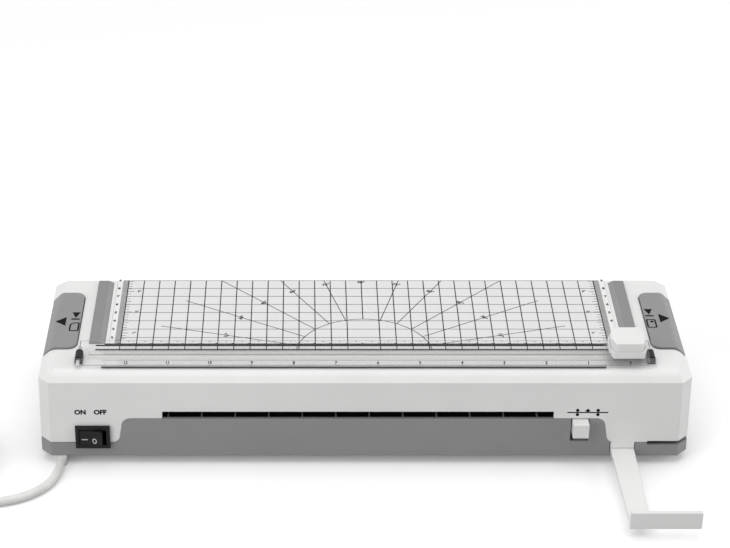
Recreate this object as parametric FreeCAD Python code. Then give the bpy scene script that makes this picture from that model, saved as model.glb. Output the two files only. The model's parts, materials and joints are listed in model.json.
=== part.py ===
import FreeCAD, Part
import math
import os

# Desk laminator with a trimmer on its lid, a corner press at the left and a hole punch at the right.
# Millimetres. X runs to the right, Y to the back, Z up, and the floor is z = 0.

# Housing
BODY_WIDTH = 396.0
BODY_DEPTH = 124.0
BODY_HEIGHT = 56.5
FOOT_HEIGHT = 6.0
FOOT_RADIUS = 6.0
FOOT_INSET = 16.0
FRONT_FOOT = 36.0
SHOULDER = 5.6
FACE_LEAN = 3.0
SIDE_DRAFT = 0.5
CORNER_CUT = 6.5
BACK_CORNER_CUT = 2.5
TOP_ROUND = 9.0
WALL = 2.2
TOP_WALL = 3.5

# Seam between the grey base and the white cover
SEAM_GAP = 0.3
SEAM_HEIGHT = 9.3
PANEL_HEIGHT = 26.0
PANEL_LEFT_INSET = 50.0
PANEL_RIGHT_INSET = 51.7
PANEL_ROUND = 5.6
PANEL_FLARE = 4.4

# Laminating slot and paper path
SLOT_LEFT_INSET = 75.0
SLOT_RIGHT_INSET = 83.4
SLOT_HEIGHT = 5.0
RIB_WIDTH = 0.9
RIB_START = 3.4
RIB_PITCH = 20.4
RIB_HEIGHT = 1.1
RIB_LENGTH = 6.6
GUIDE_WALL = 1.4
GUIDE_DROP = 1.4
GUIDE_SIDE_GAP = 1.2

# Rollers, heaters and side frames
ROLLER_FROM_BACK = 52.0
ROLLER_RADIUS = 11.0
ROLLER_END_GAP = 11.0
NIP_GAP = 0.3
SHAFT_RADIUS = 4.0
RUN_CLEAR = 0.05
FRAME_INSET = 67.0
FRAME_SHEET = 1.5
FRAME_AHEAD = 50.0
FRAME_BEHIND = 23.0
FRAME_TOP_GAP = 0.3
BUSH_RADIUS = 6.0
BUSH_LENGTH = 5.0
BLOCK_WIDTH = 12.0
BLOCK_HEIGHT = 10.0
BLOCK_LENGTH = 5.0
SLIDE_CLEAR = 0.2
BRIDGE_SHEET = 1.5
HEATER_LENGTH = 34.0
HEATER_NIP_GAP = 3.0
HEATER_PLATE = 3.0
HEATER_GAP = 2.6
END_CLEAR = 0.1

# Gears and motor
GEAR_TEETH = 22
PINION_TEETH = 11
TOOTH_TIP = 0.95
TOOTH_ROOT = 1.25
GEAR_WIDTH = 5.0
GEAR_GAP = 2.5
BACKLASH = 0.3
MOTOR_RADIUS = 21.0
MOTOR_LENGTH = 20.0
MOTOR_GAP = 1.5
MOTOR_SHIFT = 4.0
MOTOR_RISE = 13.0
MOTOR_SHAFT = 2.5
STANDOFF_RADIUS = 3.0
STANDOFF_EDGE = 1.0
STANDOFF_SINK = 1.0

# Pressure and return springs
PRESSURE_SPRING_RADIUS = 2.0
PRESSURE_SPRING_WIRE = 0.6
PRESSURE_SPRING_TURNS = 5
RETURN_SPRING_RADIUS = 4.4
RETURN_SPRING_WIRE = 1.0
RETURN_SPRING_TURNS = 6
SPRING_GAP = 0.2

# Trimmer bed
CUT_DEPTH = 25.8
GRID_FRONT = 45.8
GRID_DEPTH = 70.0
MAT_INSET = 41.0
MAT_FRONT = 12.0
MAT_THICK = 1.2
STRIP_WIDTH = 8.0
STRIP_INSET = 30.0
STRIP_THICK = 2.2
GROOVE_WIDTH = 1.2
GROOVE_DEPTH = 1.5
FENCE_WIDTH = 9.8
FENCE_INSET = 29.0
FENCE_FRONT = 38.4
FENCE_BACK_GAP = 3.0
FENCE_RISE = 1.8
FENCE_SLOPE = 3.5
LAY_CLEAR = 0.1

# Clear rail
RAIL_INSET = 22.0
RAIL_FRONT = 10.3
RAIL_REAR = 33.8
RAIL_THICK = 5.0
RAIL_NOSE = 1.6
RAIL_BEVEL = 6.2
RAIL_GAP = 0.5
RAIL_SLOT_LEFT = 12.2
RAIL_SLOT_RIGHT = 5.6
RAIL_SLOT_WIDTH = 5.6
SLOT_LINER = 0.7
LINER_HEIGHT = 0.6
GRIP_LEFT_INSET = 16.7
GRIP_RIGHT_INSET = 30.5
GRIP_WIDTH = 1.4
GRIP_HEIGHT = 0.9
LUG_WIDTH = 9.0
LUG_DEPTH = 19.6
LUG_CLEAR = 0.4
LUG_SINK = 1.2
RAIL_PIN_RADIUS = 1.2
RAIL_PIN_LENGTH = 19.0

# Cutter on the rail
CUTTER_INSET = 17.1
SHOE_WIDTH = 26.0
SHOE_PLATE = 1.0
SHOE_GAP = 0.3
SHOE_SKIRT = 1.2
SHOE_SKIRT_DROP = 3.5
RING_HEIGHT = 3.5
RING_SKIRT = 0.8
RING_WALL = 0.7
CAP_WIDTH = 20.8
CAP_DEPTH = 19.6
CAP_CUT_WIDTH = 2.2
CAP_CUT_DEPTH = 6.4
CAP_CORNER = 1.6
CAP_CLEAR = 0.3
CAP_HEIGHT = 6.7
CAP_SINK = 1.0
CAP_ROUND = 0.8
CUTTER_DEPTH_MID = 22.6
CHEEK_WIDTH = 8.0
CHEEK_THICK = 0.8
CHEEK_REACH = 2.6
BLADE_RADIUS = 5.5
BLADE_THICK = 0.4
BLADE_SIDE_GAP = 0.2
BLADE_CLEAR = 1.2
AXLE_RADIUS = 1.0

# Press levers at both ends
PAD_WIDTH = 20.4
PAD_EDGE_GAP = 1.0
PAD_FRONT = 32.5
PAD_BACK = 98.2
PAD_RISE = 1.3
PAD_THICK = 2.5
PAD_SKIRT = 4.2
PAD_SKIRT_WALL = 2.0
PAD_ROUND = 5.5
PAD_BEND = 5.0
PAD_CLEAR = 0.5
PAD_ROOM = 9.0
APRON_EDGE_GAP = 0.5
APRON_SHEET = 1.4
APRON_LAP = 2.0
APRON_NOTCH = 8.0
LEVER_PIN_REACH = 3.1
LEVER_PIN_DROP = 8.0
LEVER_PIN_RADIUS = 1.5
EAR_RADIUS = 3.8
EAR_THICK = 4.0
EAR_GAP = 0.5
UPRIGHT_THICK = 5.0
UPRIGHT_FRONT = 37.0
UPRIGHT_BACK = 94.0
POST_INSET = 8.2
POST_WIDTH = 5.7
PRESS_END_GAP = 1.8
PRESS_MID = 65.0
PRESS_DEPTH = 30.0
PAPER_GAP = 2.7
PAPER_RISE = 7.6
GUIDE_BLOCK_BASE = 20.0
GUIDE_BLOCK_HEIGHT = 6.0
PLUNGER_ARM = 14.5
PLUNGER_RADIUS = 3.0
PLUNGER_CLEAR = 0.1
PLUNGER_LIFT = 0.5
HEAD_RADIUS = 4.5
HEAD_GAP = 0.3
COLLAR_RADIUS = 5.5
COLLAR_HEIGHT = 3.5
COLLAR_DROP = 6.5
CORNER_BLADE = 12.0
CORNER_BLADE_HEIGHT = 8.5
DIE_CLEAR = 0.2
PUNCH_SLOT_GAP = 1.5
PUNCH_SLOT_DEPTH = 82.0
CORNER_SLOT_FRONT = 46.0

# Rocker switch
SWITCH_INSET = 32.4
SWITCH_HEIGHT = 13.8
SWITCH_WIDTH = 21.0
SWITCH_TALL = 15.0
SWITCH_FLANGE = 2.0
SWITCH_RIM = 2.2
SWITCH_BODY_DEPTH = 16.0
SWITCH_BODY_WIDTH = 19.0
SWITCH_BODY_TALL = 13.0
ROCKER_CLEAR = 0.4
ROCKER_SIDE = 1.3
ROCKER_SWING = 9.0
ROCKER_PIVOT = 2.5
ROCKER_PROUD = 1.6
ROCKER_ROOT = 2.0
ROCKER_TAPER = 1.0
TRUNNION_RADIUS = 1.2
TRUNNION_REACH = 0.8

# Jam release lever and its shaft
JAM_INSET = 67.2
JAM_WIDTH = 9.6
JAM_HEIGHT = 9.2
JAM_RISE = 16.5
JAM_REACH = 5.8
JAM_CLEAR = 0.7
JAM_TRAVEL = 5.5
JAM_ARM = 3.0
JAM_HUB = 5.5
ARM_SPREAD = 0.8
APRON_WALL = 1.2
APRON_GAP = 0.5
APRON_SIDE = 0.4
RELEASE_AHEAD = 19.0
RELEASE_RISE = 39.0
RELEASE_RADIUS = 3.0
TAB_LENGTH = 13.6
TAB_THICK = 2.0
TAB_WIDTH = 3.0

# Paper guide
GUIDE_INSET = 47.6
GUIDE_WIDTH = 14.3
GUIDE_TAPER = 2.0
GUIDE_THICK = 2.5
GUIDE_RIDE = 0.3
GUIDE_CLEAR = 0.4
GUIDE_PLATE_LENGTH = 42.2
GUIDE_PLATE_THICK = 3.0
GUIDE_PLATE_HEIGHT = 11.6
GUIDE_PLATE_DROP = 0.5
GUIDE_REACH = 74.2
GUIDE_TAIL = 22.0
GUIDE_ROUND = 0.6
TONGUE_DEPTH = 5.0

# Circuit board and screws
BOARD_END_GAP = 37.0
BOARD_WIDTH = 22.0
BOARD_FRONT = 31.0
BOARD_LENGTH = 65.0
BOARD_THICK = 1.6
BOARD_RISE = 6.0
BOARD_POST = 2.5
BOARD_INSET = 4.0
RELAY_LENGTH = 18.0
RELAY_HEIGHT = 15.0
FUSE_RADIUS = 3.0
FUSE_INSET = 8.0
FUSE_LENGTH = 20.0
FUSE_RISE = 2.5
TERMINAL_INSET = 2.0
TERMINAL_LENGTH = 8.0
TERMINAL_HEIGHT = 9.0
SCREW_RADIUS = 1.5
SCREW_HEAD = 3.0
SCREW_HEAD_HEIGHT = 1.6
SCREW_LENGTH = 16.0
SCREW_POST = 4.0
POST_FRONT_INSET = 52.2
POST_BACK_INSET = 28.0
POST_FRONT_DEPTH = 14.0
POST_BACK_DEPTH = 112.0
POST_GAP = 0.1

# Cord
CORD_RADIUS = 2.75
CORD_INSET = 12.4
CORD_HEIGHT = 2.95
GLAND_FRONT = -2.0
GLAND_TAPER = 20.0
GLAND_LENGTH = 27.0
GLAND_WIDTH = 9.4
GLAND_NOSE = 6.4
# Runs of the free cord from the gland: length, and heading in degrees from straight ahead to the left
CORD_RUNS = [(9.0, 1.3), (16.0, 17.0), (17.0, 45.0), (18.0, 70.0)]
COIL_SHIFT = 82.4
COIL_DEPTH = -6.5
COIL_PITCH = 6.1
COIL_OUTER = 40.0
LAYER_TURNS = 2.5
COIL_TAIL = 38.0
LAST_RUN = 20.0
ARC_SHARE = 0.45
TIE_WALL = 0.8
TIE_WIDTH = 8.0
TIE_CLEAR = 0.35
PLUG_LENGTH = 36.0
PLUG_WIDTH = 22.0
PLUG_TALL = 18.0
PLUG_SHOULDER = 16.2
PLUG_NECK_WALL = 1.65
PIN_LENGTH = 19.0
PIN_RADIUS = 2.0
PIN_SPACING = 13.0

# Places worked out from the sizes
FRONT_Y = (GUIDE_REACH - BODY_DEPTH) / 2
HALF_WIDTH = BODY_WIDTH / 2
PANEL_LEFT = PANEL_LEFT_INSET - HALF_WIDTH
PANEL_RIGHT = HALF_WIDTH - PANEL_RIGHT_INSET
SLOT_LEFT = SLOT_LEFT_INSET - HALF_WIDTH
SLOT_RIGHT = HALF_WIDTH - SLOT_RIGHT_INSET
MAT_WIDTH = BODY_WIDTH - 2 * MAT_INSET
STRIP_LENGTH = BODY_WIDTH - 2 * STRIP_INSET
FENCE_OUTER = HALF_WIDTH - FENCE_INSET
RAIL_LENGTH = BODY_WIDTH - 2 * RAIL_INSET
SLOT_START = RAIL_SLOT_LEFT - RAIL_LENGTH / 2
SLOT_END = RAIL_LENGTH / 2 - RAIL_SLOT_RIGHT
GRIP_LEFT = GRIP_LEFT_INSET - RAIL_LENGTH / 2
GRIP_RIGHT = RAIL_LENGTH / 2 - GRIP_RIGHT_INSET
CUTTER_X = RAIL_LENGTH / 2 - CUTTER_INSET
PAD_OUTER = HALF_WIDTH - PAD_EDGE_GAP
PAD_INNER = PAD_OUTER - PAD_WIDTH
APRON_OUTER = HALF_WIDTH - SIDE_DRAFT - WALL - APRON_EDGE_GAP
LEVER_PIN_X = PAD_INNER - LEVER_PIN_REACH
PLUNGER_X = LEVER_PIN_X + PLUNGER_ARM
POST_INNER = LEVER_PIN_X - POST_INSET
POST_OUTER = POST_INNER + POST_WIDTH
PRESS_REACH = HALF_WIDTH - WALL - PRESS_END_GAP
PUNCH_SLOT_INNER = POST_OUTER + PUNCH_SLOT_GAP
SWITCH_X = SWITCH_INSET - HALF_WIDTH
JAM_X = HALF_WIDTH - JAM_INSET
GUIDE_X = HALF_WIDTH - GUIDE_INSET
BOARD_LEFT = BOARD_END_GAP - HALF_WIDTH
POST_FRONT_X = HALF_WIDTH - POST_FRONT_INSET
POST_BACK_X = HALF_WIDTH - POST_BACK_INSET
CORD_X = CORD_INSET - HALF_WIDTH
COIL_X = CORD_X - COIL_SHIFT
Z_BASE = FOOT_HEIGHT
Z_FLOOR = Z_BASE + WALL
Z_SEAM = Z_BASE + SEAM_HEIGHT
Z_PANEL = Z_BASE + PANEL_HEIGHT
Z_SLOT_TOP = Z_PANEL + SLOT_HEIGHT
Z_TOP = Z_BASE + BODY_HEIGHT
Z_SHOULDER = Z_TOP - SHOULDER
Z_CEILING = Z_TOP - TOP_WALL
Z_PATH = Z_PANEL + SLOT_HEIGHT / 2
Z_LOWER_ROLLER = Z_PATH - NIP_GAP / 2 - ROLLER_RADIUS
Z_UPPER_ROLLER = Z_PATH + NIP_GAP / 2 + ROLLER_RADIUS
ROLLER_SPACING = Z_UPPER_ROLLER - Z_LOWER_ROLLER
GEAR_MODULE = ROLLER_SPACING / GEAR_TEETH
PINION_SPACING = GEAR_MODULE * (GEAR_TEETH + PINION_TEETH) / 2
ROLLER_DEPTH = BODY_DEPTH - ROLLER_FROM_BACK
PINION_DEPTH = ROLLER_DEPTH + PINION_SPACING
RELEASE_DEPTH = ROLLER_DEPTH - RELEASE_AHEAD
FRAME_FRONT = ROLLER_DEPTH - FRAME_AHEAD
FRAME_BACK = ROLLER_DEPTH + FRAME_BEHIND
HEATER_BACK = ROLLER_DEPTH - ROLLER_RADIUS - HEATER_NIP_GAP
HEATER_FRONT = HEATER_BACK - HEATER_LENGTH
FRAME_FACE = HALF_WIDTH - FRAME_INSET
ROLLER_LENGTH = 2 * (FRAME_FACE - ROLLER_END_GAP)
GEAR_FACE = FRAME_FACE + FRAME_SHEET + GEAR_GAP
MOTOR_FACE = GEAR_FACE + GEAR_WIDTH + MOTOR_GAP
Z_FRAME_TOP = Z_CEILING - FRAME_TOP_GAP
Z_RAIL = Z_TOP + RAIL_GAP
Z_RAIL_TOP = Z_RAIL + RAIL_THICK
Z_SHOE = Z_RAIL_TOP + SHOE_GAP
Z_RING = Z_SHOE + SHOE_PLATE
Z_RING_TOP = Z_RING + RING_HEIGHT
Z_CAP = Z_RING_TOP - CAP_SINK
Z_BLADE = Z_TOP + BLADE_CLEAR + BLADE_RADIUS
RAIL_PIVOT_X = -(RAIL_LENGTH - RAIL_THICK) / 2
Z_RAIL_PIVOT = Z_RAIL + RAIL_THICK / 2
Z_PAD = Z_TOP + PAD_RISE
Z_PAD_UNDER = Z_PAD - PAD_THICK
Z_LEVER_PIN = Z_TOP - LEVER_PIN_DROP
Z_DIE = Z_BASE + PAPER_RISE
Z_PAPER_TOP = Z_DIE + PAPER_GAP
Z_GUIDE_BLOCK = Z_BASE + GUIDE_BLOCK_BASE
Z_GUIDE_BLOCK_TOP = Z_GUIDE_BLOCK + GUIDE_BLOCK_HEIGHT
Z_HEAD = Z_PAD_UNDER - HEAD_GAP - HEAD_RADIUS
Z_COLLAR = Z_HEAD - COLLAR_DROP
Z_GUIDE = Z_FLOOR + GUIDE_RIDE
Z_GUIDE_TOP = Z_GUIDE + GUIDE_THICK
Z_TONGUE = Z_GUIDE_TOP + GUIDE_CLEAR
Z_JAM = Z_BASE + JAM_RISE
Z_RELEASE = Z_BASE + RELEASE_RISE
COIL_END = 2 * LAYER_TURNS
ROOM = 20.0
OVERCUT = 1.0


def at(depth):
    """Y of a place that lies this far behind the front edge of the base."""
    return FRONT_Y + depth


def face_depth(z):
    """Depth of the leaning front face at a height."""
    return (min(z, Z_SHOULDER) - Z_BASE) * math.tan(math.radians(FACE_LEAN))


def box(x0, x1, d0, d1, z0, z1):
    """Block between two X places, two depths and two heights."""
    return Part.makeBox(x1 - x0, d1 - d0, z1 - z0, FreeCAD.Vector(x0, at(d0), z0))


def rod_x(radius, x0, x1, depth, z):
    """Round bar along X."""
    start = FreeCAD.Vector(x0, at(depth), z)
    return Part.makeCylinder(radius, x1 - x0, start, FreeCAD.Vector(1, 0, 0))


def rod_y(radius, x, d0, d1, z):
    """Round bar along Y."""
    start = FreeCAD.Vector(x, at(d0), z)
    return Part.makeCylinder(radius, d1 - d0, start, FreeCAD.Vector(0, 1, 0))


def rod_z(radius, x, depth, z0, z1):
    """Round upright bar."""
    return Part.makeCylinder(radius, z1 - z0, FreeCAD.Vector(x, at(depth), z0))


def prism_x(outline, x0, x1):
    """Outline of (depth, z) points drawn out along X."""
    points = [FreeCAD.Vector(x0, at(d), z) for d, z in outline]
    face = Part.Face(Part.makePolygon(points + points[:1]))
    return face.extrude(FreeCAD.Vector(x1 - x0, 0, 0))


def prism_y(outline, d0, d1):
    """Outline of (x, z) points drawn out along Y."""
    points = [FreeCAD.Vector(x, at(d0), z) for x, z in outline]
    face = Part.Face(Part.makePolygon(points + points[:1]))
    return face.extrude(FreeCAD.Vector(0, d1 - d0, 0))


def prism_z(outline, z0, z1):
    """Outline of (x, depth) points drawn up along Z."""
    points = [FreeCAD.Vector(x, at(d), z0) for x, d in outline]
    face = Part.Face(Part.makePolygon(points + points[:1]))
    return face.extrude(FreeCAD.Vector(0, 0, z1 - z0))


def joined(shapes):
    """One solid from touching shapes."""
    first = shapes[0]
    return first.multiFuse(shapes[1:]).removeSplitter()


def mirrored(shape):
    """The same shape on the other side of the middle plane."""
    return shape.mirror(FreeCAD.Vector(0, 0, 0), FreeCAD.Vector(1, 0, 0))


def clipped_rectangle(half_x, front, back, front_cut, back_cut):
    """Rectangle of (x, depth) points with its front and back corners cut off."""
    return [
        (-half_x + front_cut, front), (half_x - front_cut, front),
        (half_x, front + front_cut), (half_x, back - back_cut),
        (half_x - back_cut, back), (-half_x + back_cut, back),
        (-half_x, back - back_cut), (-half_x, front + front_cut),
    ]


def housing_section(z, inset):
    """Closed wire of the housing at a height, moved in by a distance."""
    slope_in = max(0.0, z - Z_SHOULDER) + inset
    rise = min(z, Z_SHOULDER) - Z_BASE
    half_x = HALF_WIDTH - SIDE_DRAFT * rise / (Z_SHOULDER - Z_BASE) - slope_in
    front = face_depth(z) + slope_in
    front_cut = CORNER_CUT - (2 - math.sqrt(2)) * slope_in
    outline = clipped_rectangle(half_x, front, BODY_DEPTH - front, front_cut, BACK_CORNER_CUT)
    points = [FreeCAD.Vector(x, at(d), z) for x, d in outline]
    return Part.makePolygon(points + points[:1])


def housing_block(z_low, z_high, inset):
    """Solid housing between two heights, moved in by a distance."""
    lower = Part.makeLoft([housing_section(z_low, inset), housing_section(Z_SHOULDER, inset)], True, True)
    upper = Part.makeLoft([housing_section(Z_SHOULDER, inset), housing_section(z_high, inset)], True, True)
    return joined([lower, upper])


def housing_shell():
    """Hollow housing, base and cover together, with well rounded top edges in front and at the sides."""
    outer = housing_block(Z_BASE, Z_TOP, 0.0)
    middle = at(BODY_DEPTH / 2)
    rim = [
        edge for edge in outer.Edges
        if edge.BoundBox.ZMin > Z_TOP - LAY_CLEAR and edge.BoundBox.YMin < middle
    ]
    outer = outer.makeFillet(TOP_ROUND, rim)
    return outer.cut(housing_block(Z_FLOOR, Z_CEILING, WALL))


def panel_edge(side, x, lean, z_side, z_top):
    """S-shaped edge of the middle panel: round shoulder, leaning run and hollow foot."""
    bulge = 1 - math.sqrt(0.5)
    top = FreeCAD.Vector(x - side * PANEL_ROUND, 0, z_top)
    top_mid = FreeCAD.Vector(x - side * PANEL_ROUND * bulge, 0, z_top - PANEL_ROUND * bulge)
    top_end = FreeCAD.Vector(x, 0, z_top - PANEL_ROUND)
    foot_x = x + side * lean
    foot_start = FreeCAD.Vector(foot_x, 0, z_side + PANEL_FLARE)
    foot_mid = FreeCAD.Vector(foot_x + side * PANEL_FLARE * bulge, 0, z_side + PANEL_FLARE * bulge)
    foot = FreeCAD.Vector(foot_x + side * PANEL_FLARE, 0, z_side)
    return [
        Part.Arc(top, top_mid, top_end).toShape(),
        Part.LineSegment(top_end, foot_start).toShape(),
        Part.Arc(foot_start, foot_mid, foot).toShape(),
    ]


def seam_region(rise):
    """Everything below the seam, with the raised middle panel, lifted by a small distance."""
    side = HALF_WIDTH + ROOM
    z_side = Z_SEAM + rise
    z_top = Z_PANEL + rise
    lean = PANEL_FLARE / 4
    left_half = panel_edge(-1, PANEL_LEFT, lean, z_side, z_top)
    right_half = panel_edge(1, PANEL_RIGHT, lean, z_side, z_top)
    left_top = FreeCAD.Vector(PANEL_LEFT + PANEL_ROUND, 0, z_top)
    right_top = FreeCAD.Vector(PANEL_RIGHT - PANEL_ROUND, 0, z_top)
    right_foot = FreeCAD.Vector(PANEL_RIGHT + lean + PANEL_FLARE, 0, z_side)
    left_foot = FreeCAD.Vector(PANEL_LEFT - lean - PANEL_FLARE, 0, z_side)
    rim = [
        left_foot, FreeCAD.Vector(-side, 0, z_side), FreeCAD.Vector(-side, 0, Z_BASE - ROOM),
        FreeCAD.Vector(side, 0, Z_BASE - ROOM), FreeCAD.Vector(side, 0, z_side), right_foot,
    ]
    edges = list(left_half)
    for start, end in zip(rim, rim[1:]):
        edges.append(Part.LineSegment(start, end).toShape())
    edges.extend(reversed(right_half))
    edges.append(Part.LineSegment(right_top, left_top).toShape())
    region = Part.Face(Part.Wire(edges)).extrude(FreeCAD.Vector(0, BODY_DEPTH + 2 * ROOM, 0))
    region.translate(FreeCAD.Vector(0, at(-ROOM), 0))
    return region


def laminating_slots():
    """Long slots through the front and back walls."""
    return box(SLOT_LEFT, SLOT_RIGHT, -ROOM, BODY_DEPTH + ROOM, Z_PANEL, Z_SLOT_TOP)


def paper_slots():
    """Gaps for the sheet at the punch, open at the front, and at the corner press, open at the side."""
    punch = box(PUNCH_SLOT_INNER, HALF_WIDTH + ROOM, -ROOM, PUNCH_SLOT_DEPTH, Z_DIE, Z_PAPER_TOP)
    corner = box(-HALF_WIDTH - ROOM, -PUNCH_SLOT_INNER, CORNER_SLOT_FRONT, PUNCH_SLOT_DEPTH,
                 Z_DIE, Z_PAPER_TOP)
    return [punch, corner]


def tongue_box(clear):
    """Space of the cover's tongue over the paper guide, grown by a clearance."""
    x0 = GUIDE_X - GUIDE_CLEAR - clear
    x1 = GUIDE_X + GUIDE_WIDTH + GUIDE_CLEAR + clear
    return box(x0, x1, -ROOM, TONGUE_DEPTH, Z_TONGUE, Z_SEAM + SEAM_GAP)


def switch_place(shape):
    """Moves a shape made flat at the switch onto the leaning front face."""
    z = Z_BASE + SWITCH_HEIGHT
    shape.rotate(FreeCAD.Vector(0, 0, 0), FreeCAD.Vector(1, 0, 0), -FACE_LEAN)
    shape.translate(FreeCAD.Vector(SWITCH_X, at(face_depth(z)), z))
    return shape


def switch_block(width, tall, y0, y1):
    """Block centred on the switch, between two distances behind the front face."""
    return Part.makeBox(width, y1 - y0, tall, FreeCAD.Vector(-width / 2, y0, -tall / 2))


def screw_places():
    """Places (x, depth) of the four housing screws."""
    places = []
    for side in (-1, 1):
        places.append((side * POST_FRONT_X, POST_FRONT_DEPTH))
        places.append((side * POST_BACK_X, POST_BACK_DEPTH))
    return places


def pad_outline(clear):
    """Plan solid of the right press lever with rounded corners, grown by a clearance."""
    x0 = PAD_INNER - clear
    x1 = HALF_WIDTH + ROOM
    block = box(x0, x1, PAD_FRONT - clear, PAD_BACK + clear, Z_BASE, Z_PAD + ROOM)
    inner_edges = [
        edge for edge in block.Edges
        if edge.BoundBox.XMax < x0 + LAY_CLEAR and edge.BoundBox.ZLength > LAY_CLEAR
    ]
    return block.makeFillet(PAD_ROUND + clear, inner_edges)


def pad_opening():
    """Space cut out of the cover for the right press lever and its travel."""
    floor_z = Z_SHOULDER - PAD_SKIRT - PAD_ROOM
    limit = box(PAD_INNER - PAD_CLEAR, HALF_WIDTH + ROOM, 0, BODY_DEPTH, floor_z, Z_PAD + ROOM)
    return pad_outline(PAD_CLEAR).common(limit)


def base_housing():
    """Grey tray with the raised middle panel, ribs, posts, and openings for the moving parts."""
    tray = housing_shell().common(seam_region(0.0))
    ribs = []
    rib_count = int((SLOT_RIGHT - SLOT_LEFT - RIB_START) / RIB_PITCH) + 1
    rib_root = face_depth(Z_PANEL) + WALL / 2
    for number in range(rib_count):
        x = SLOT_LEFT + RIB_START + number * RIB_PITCH
        rib = box(x - RIB_WIDTH / 2, x + RIB_WIDTH / 2, rib_root, rib_root + WALL / 2 + RIB_LENGTH,
                  Z_PANEL - RIB_HEIGHT, Z_PANEL)
        ribs.append(rib)
    posts = []
    for x in (BOARD_LEFT + BOARD_INSET, BOARD_LEFT + BOARD_WIDTH - BOARD_INSET):
        for depth in (BOARD_FRONT + BOARD_INSET, BOARD_FRONT + BOARD_LENGTH - BOARD_INSET):
            posts.append(rod_z(BOARD_POST, x, depth, Z_BASE + WALL / 2, Z_FLOOR + BOARD_RISE))
    tray = joined([tray] + ribs + posts)
    cuts = paper_slots()
    cuts.append(tongue_box(SEAM_GAP))
    guide_x0 = GUIDE_X - GUIDE_CLEAR
    guide_x1 = GUIDE_X + GUIDE_WIDTH + GUIDE_CLEAR
    cuts.append(box(guide_x0, guide_x1, -ROOM, TONGUE_DEPTH, Z_FLOOR, Z_TONGUE + SEAM_GAP))
    jam_half = JAM_WIDTH / 2 + JAM_CLEAR
    jam_floor = Z_JAM - JAM_TRAVEL - JAM_CLEAR
    cuts.append(box(JAM_X - jam_half, JAM_X + jam_half, -ROOM, TONGUE_DEPTH, jam_floor, Z_PANEL + ROOM))
    cuts.append(switch_place(switch_block(SWITCH_BODY_WIDTH, SWITCH_BODY_TALL, -ROOM, ROOM)))
    for x, depth in screw_places():
        cuts.append(rod_z(SCREW_RADIUS + RUN_CLEAR, x, depth, 0, Z_FLOOR + ROOM / 4))
    chip_radius = PLUNGER_RADIUS + DIE_CLEAR
    cuts.append(rod_z(chip_radius, PLUNGER_X, PRESS_MID, 0, Z_FLOOR + WALL))
    return tray.cut(cuts)


def top_cover():
    """White lid with its openings, mat recess, screw posts, tongue and pockets for the rail lugs."""
    shell = housing_shell()
    cover = shell.cut(seam_region(SEAM_GAP))
    tongue = shell.common(tongue_box(-SEAM_GAP))
    tongue = tongue.common(box(-HALF_WIDTH, HALF_WIDTH, -ROOM, TONGUE_DEPTH, Z_BASE, Z_PANEL))
    posts = []
    for x, depth in screw_places():
        post = rod_z(SCREW_POST, x, depth, Z_FLOOR + POST_GAP, Z_CEILING + TOP_WALL / 2)
        posts.append(post.cut(rod_z(SCREW_RADIUS + RUN_CLEAR, x, depth, Z_FLOOR, Z_FLOOR + SCREW_LENGTH)))
    cover = joined([cover, tongue] + posts)
    cuts = [laminating_slots(), pad_opening(), mirrored(pad_opening())] + paper_slots()
    mat_half = MAT_WIDTH / 2 + LAY_CLEAR
    mat_back = GRID_FRONT + GRID_DEPTH + ROOM
    cuts.append(box(-mat_half, mat_half, MAT_FRONT - LAY_CLEAR, mat_back,
                    Z_TOP - MAT_THICK, Z_TOP + ROOM / 10))
    strip_half = STRIP_LENGTH / 2 + LAY_CLEAR
    strip_side = STRIP_WIDTH / 2 + LAY_CLEAR
    cuts.append(box(-strip_half, strip_half, CUT_DEPTH - strip_side, CUT_DEPTH + strip_side,
                    Z_TOP - STRIP_THICK, Z_TOP + ROOM / 10))
    cuts.append(switch_place(switch_block(SWITCH_BODY_WIDTH, SWITCH_BODY_TALL, -ROOM, ROOM)))
    for side in (-1, 1):
        cuts.append(lug_foot(side, LAY_CLEAR, Z_TOP + ROOM / 10))
    return cover.cut(cuts)


def lug_foot(side, clear, z_top):
    """Upright block of one rail lug from the floor of its pocket in the lid, grown by a clearance."""
    half_x = RAIL_THICK / 2 - LUG_CLEAR / 2 + clear
    half_d = LUG_WIDTH / 2 + clear
    x = -side * RAIL_PIVOT_X
    return box(x - half_x, x + half_x, LUG_DEPTH - half_d, LUG_DEPTH + half_d, Z_TOP - LUG_SINK, z_top)


def hinge_lugs():
    """Dark lugs in the notches at both ends of the rail; the left one holds the pivot pin."""
    radius = RAIL_THICK / 2 - LUG_CLEAR / 2
    d0 = LUG_DEPTH - LUG_WIDTH / 2
    d1 = LUG_DEPTH + LUG_WIDTH / 2
    lugs = []
    for side in (-1, 1):
        top = rod_y(radius, -side * RAIL_PIVOT_X, d0, d1, Z_RAIL_PIVOT)
        lugs.append(joined([lug_foot(side, 0.0, Z_RAIL_PIVOT), top]))
    bore = rod_y(RAIL_PIN_RADIUS + RUN_CLEAR, RAIL_PIVOT_X, d0 - WALL, d1 + WALL, Z_RAIL_PIVOT)
    return Part.makeCompound([lugs[0].cut(bore), lugs[1]])


def measuring_mat():
    """Printed mat laid in the lid, parted by the cutting strip."""
    back = BODY_DEPTH - face_depth(Z_SHOULDER) - SHOULDER
    mat = box(-MAT_WIDTH / 2, MAT_WIDTH / 2, MAT_FRONT, back, Z_TOP - MAT_THICK, Z_TOP)
    side = STRIP_WIDTH / 2 + LAY_CLEAR
    groove = box(-MAT_WIDTH, MAT_WIDTH, CUT_DEPTH - side, CUT_DEPTH + side, Z_TOP - ROOM, Z_TOP + ROOM)
    return mat.cut(groove)


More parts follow.
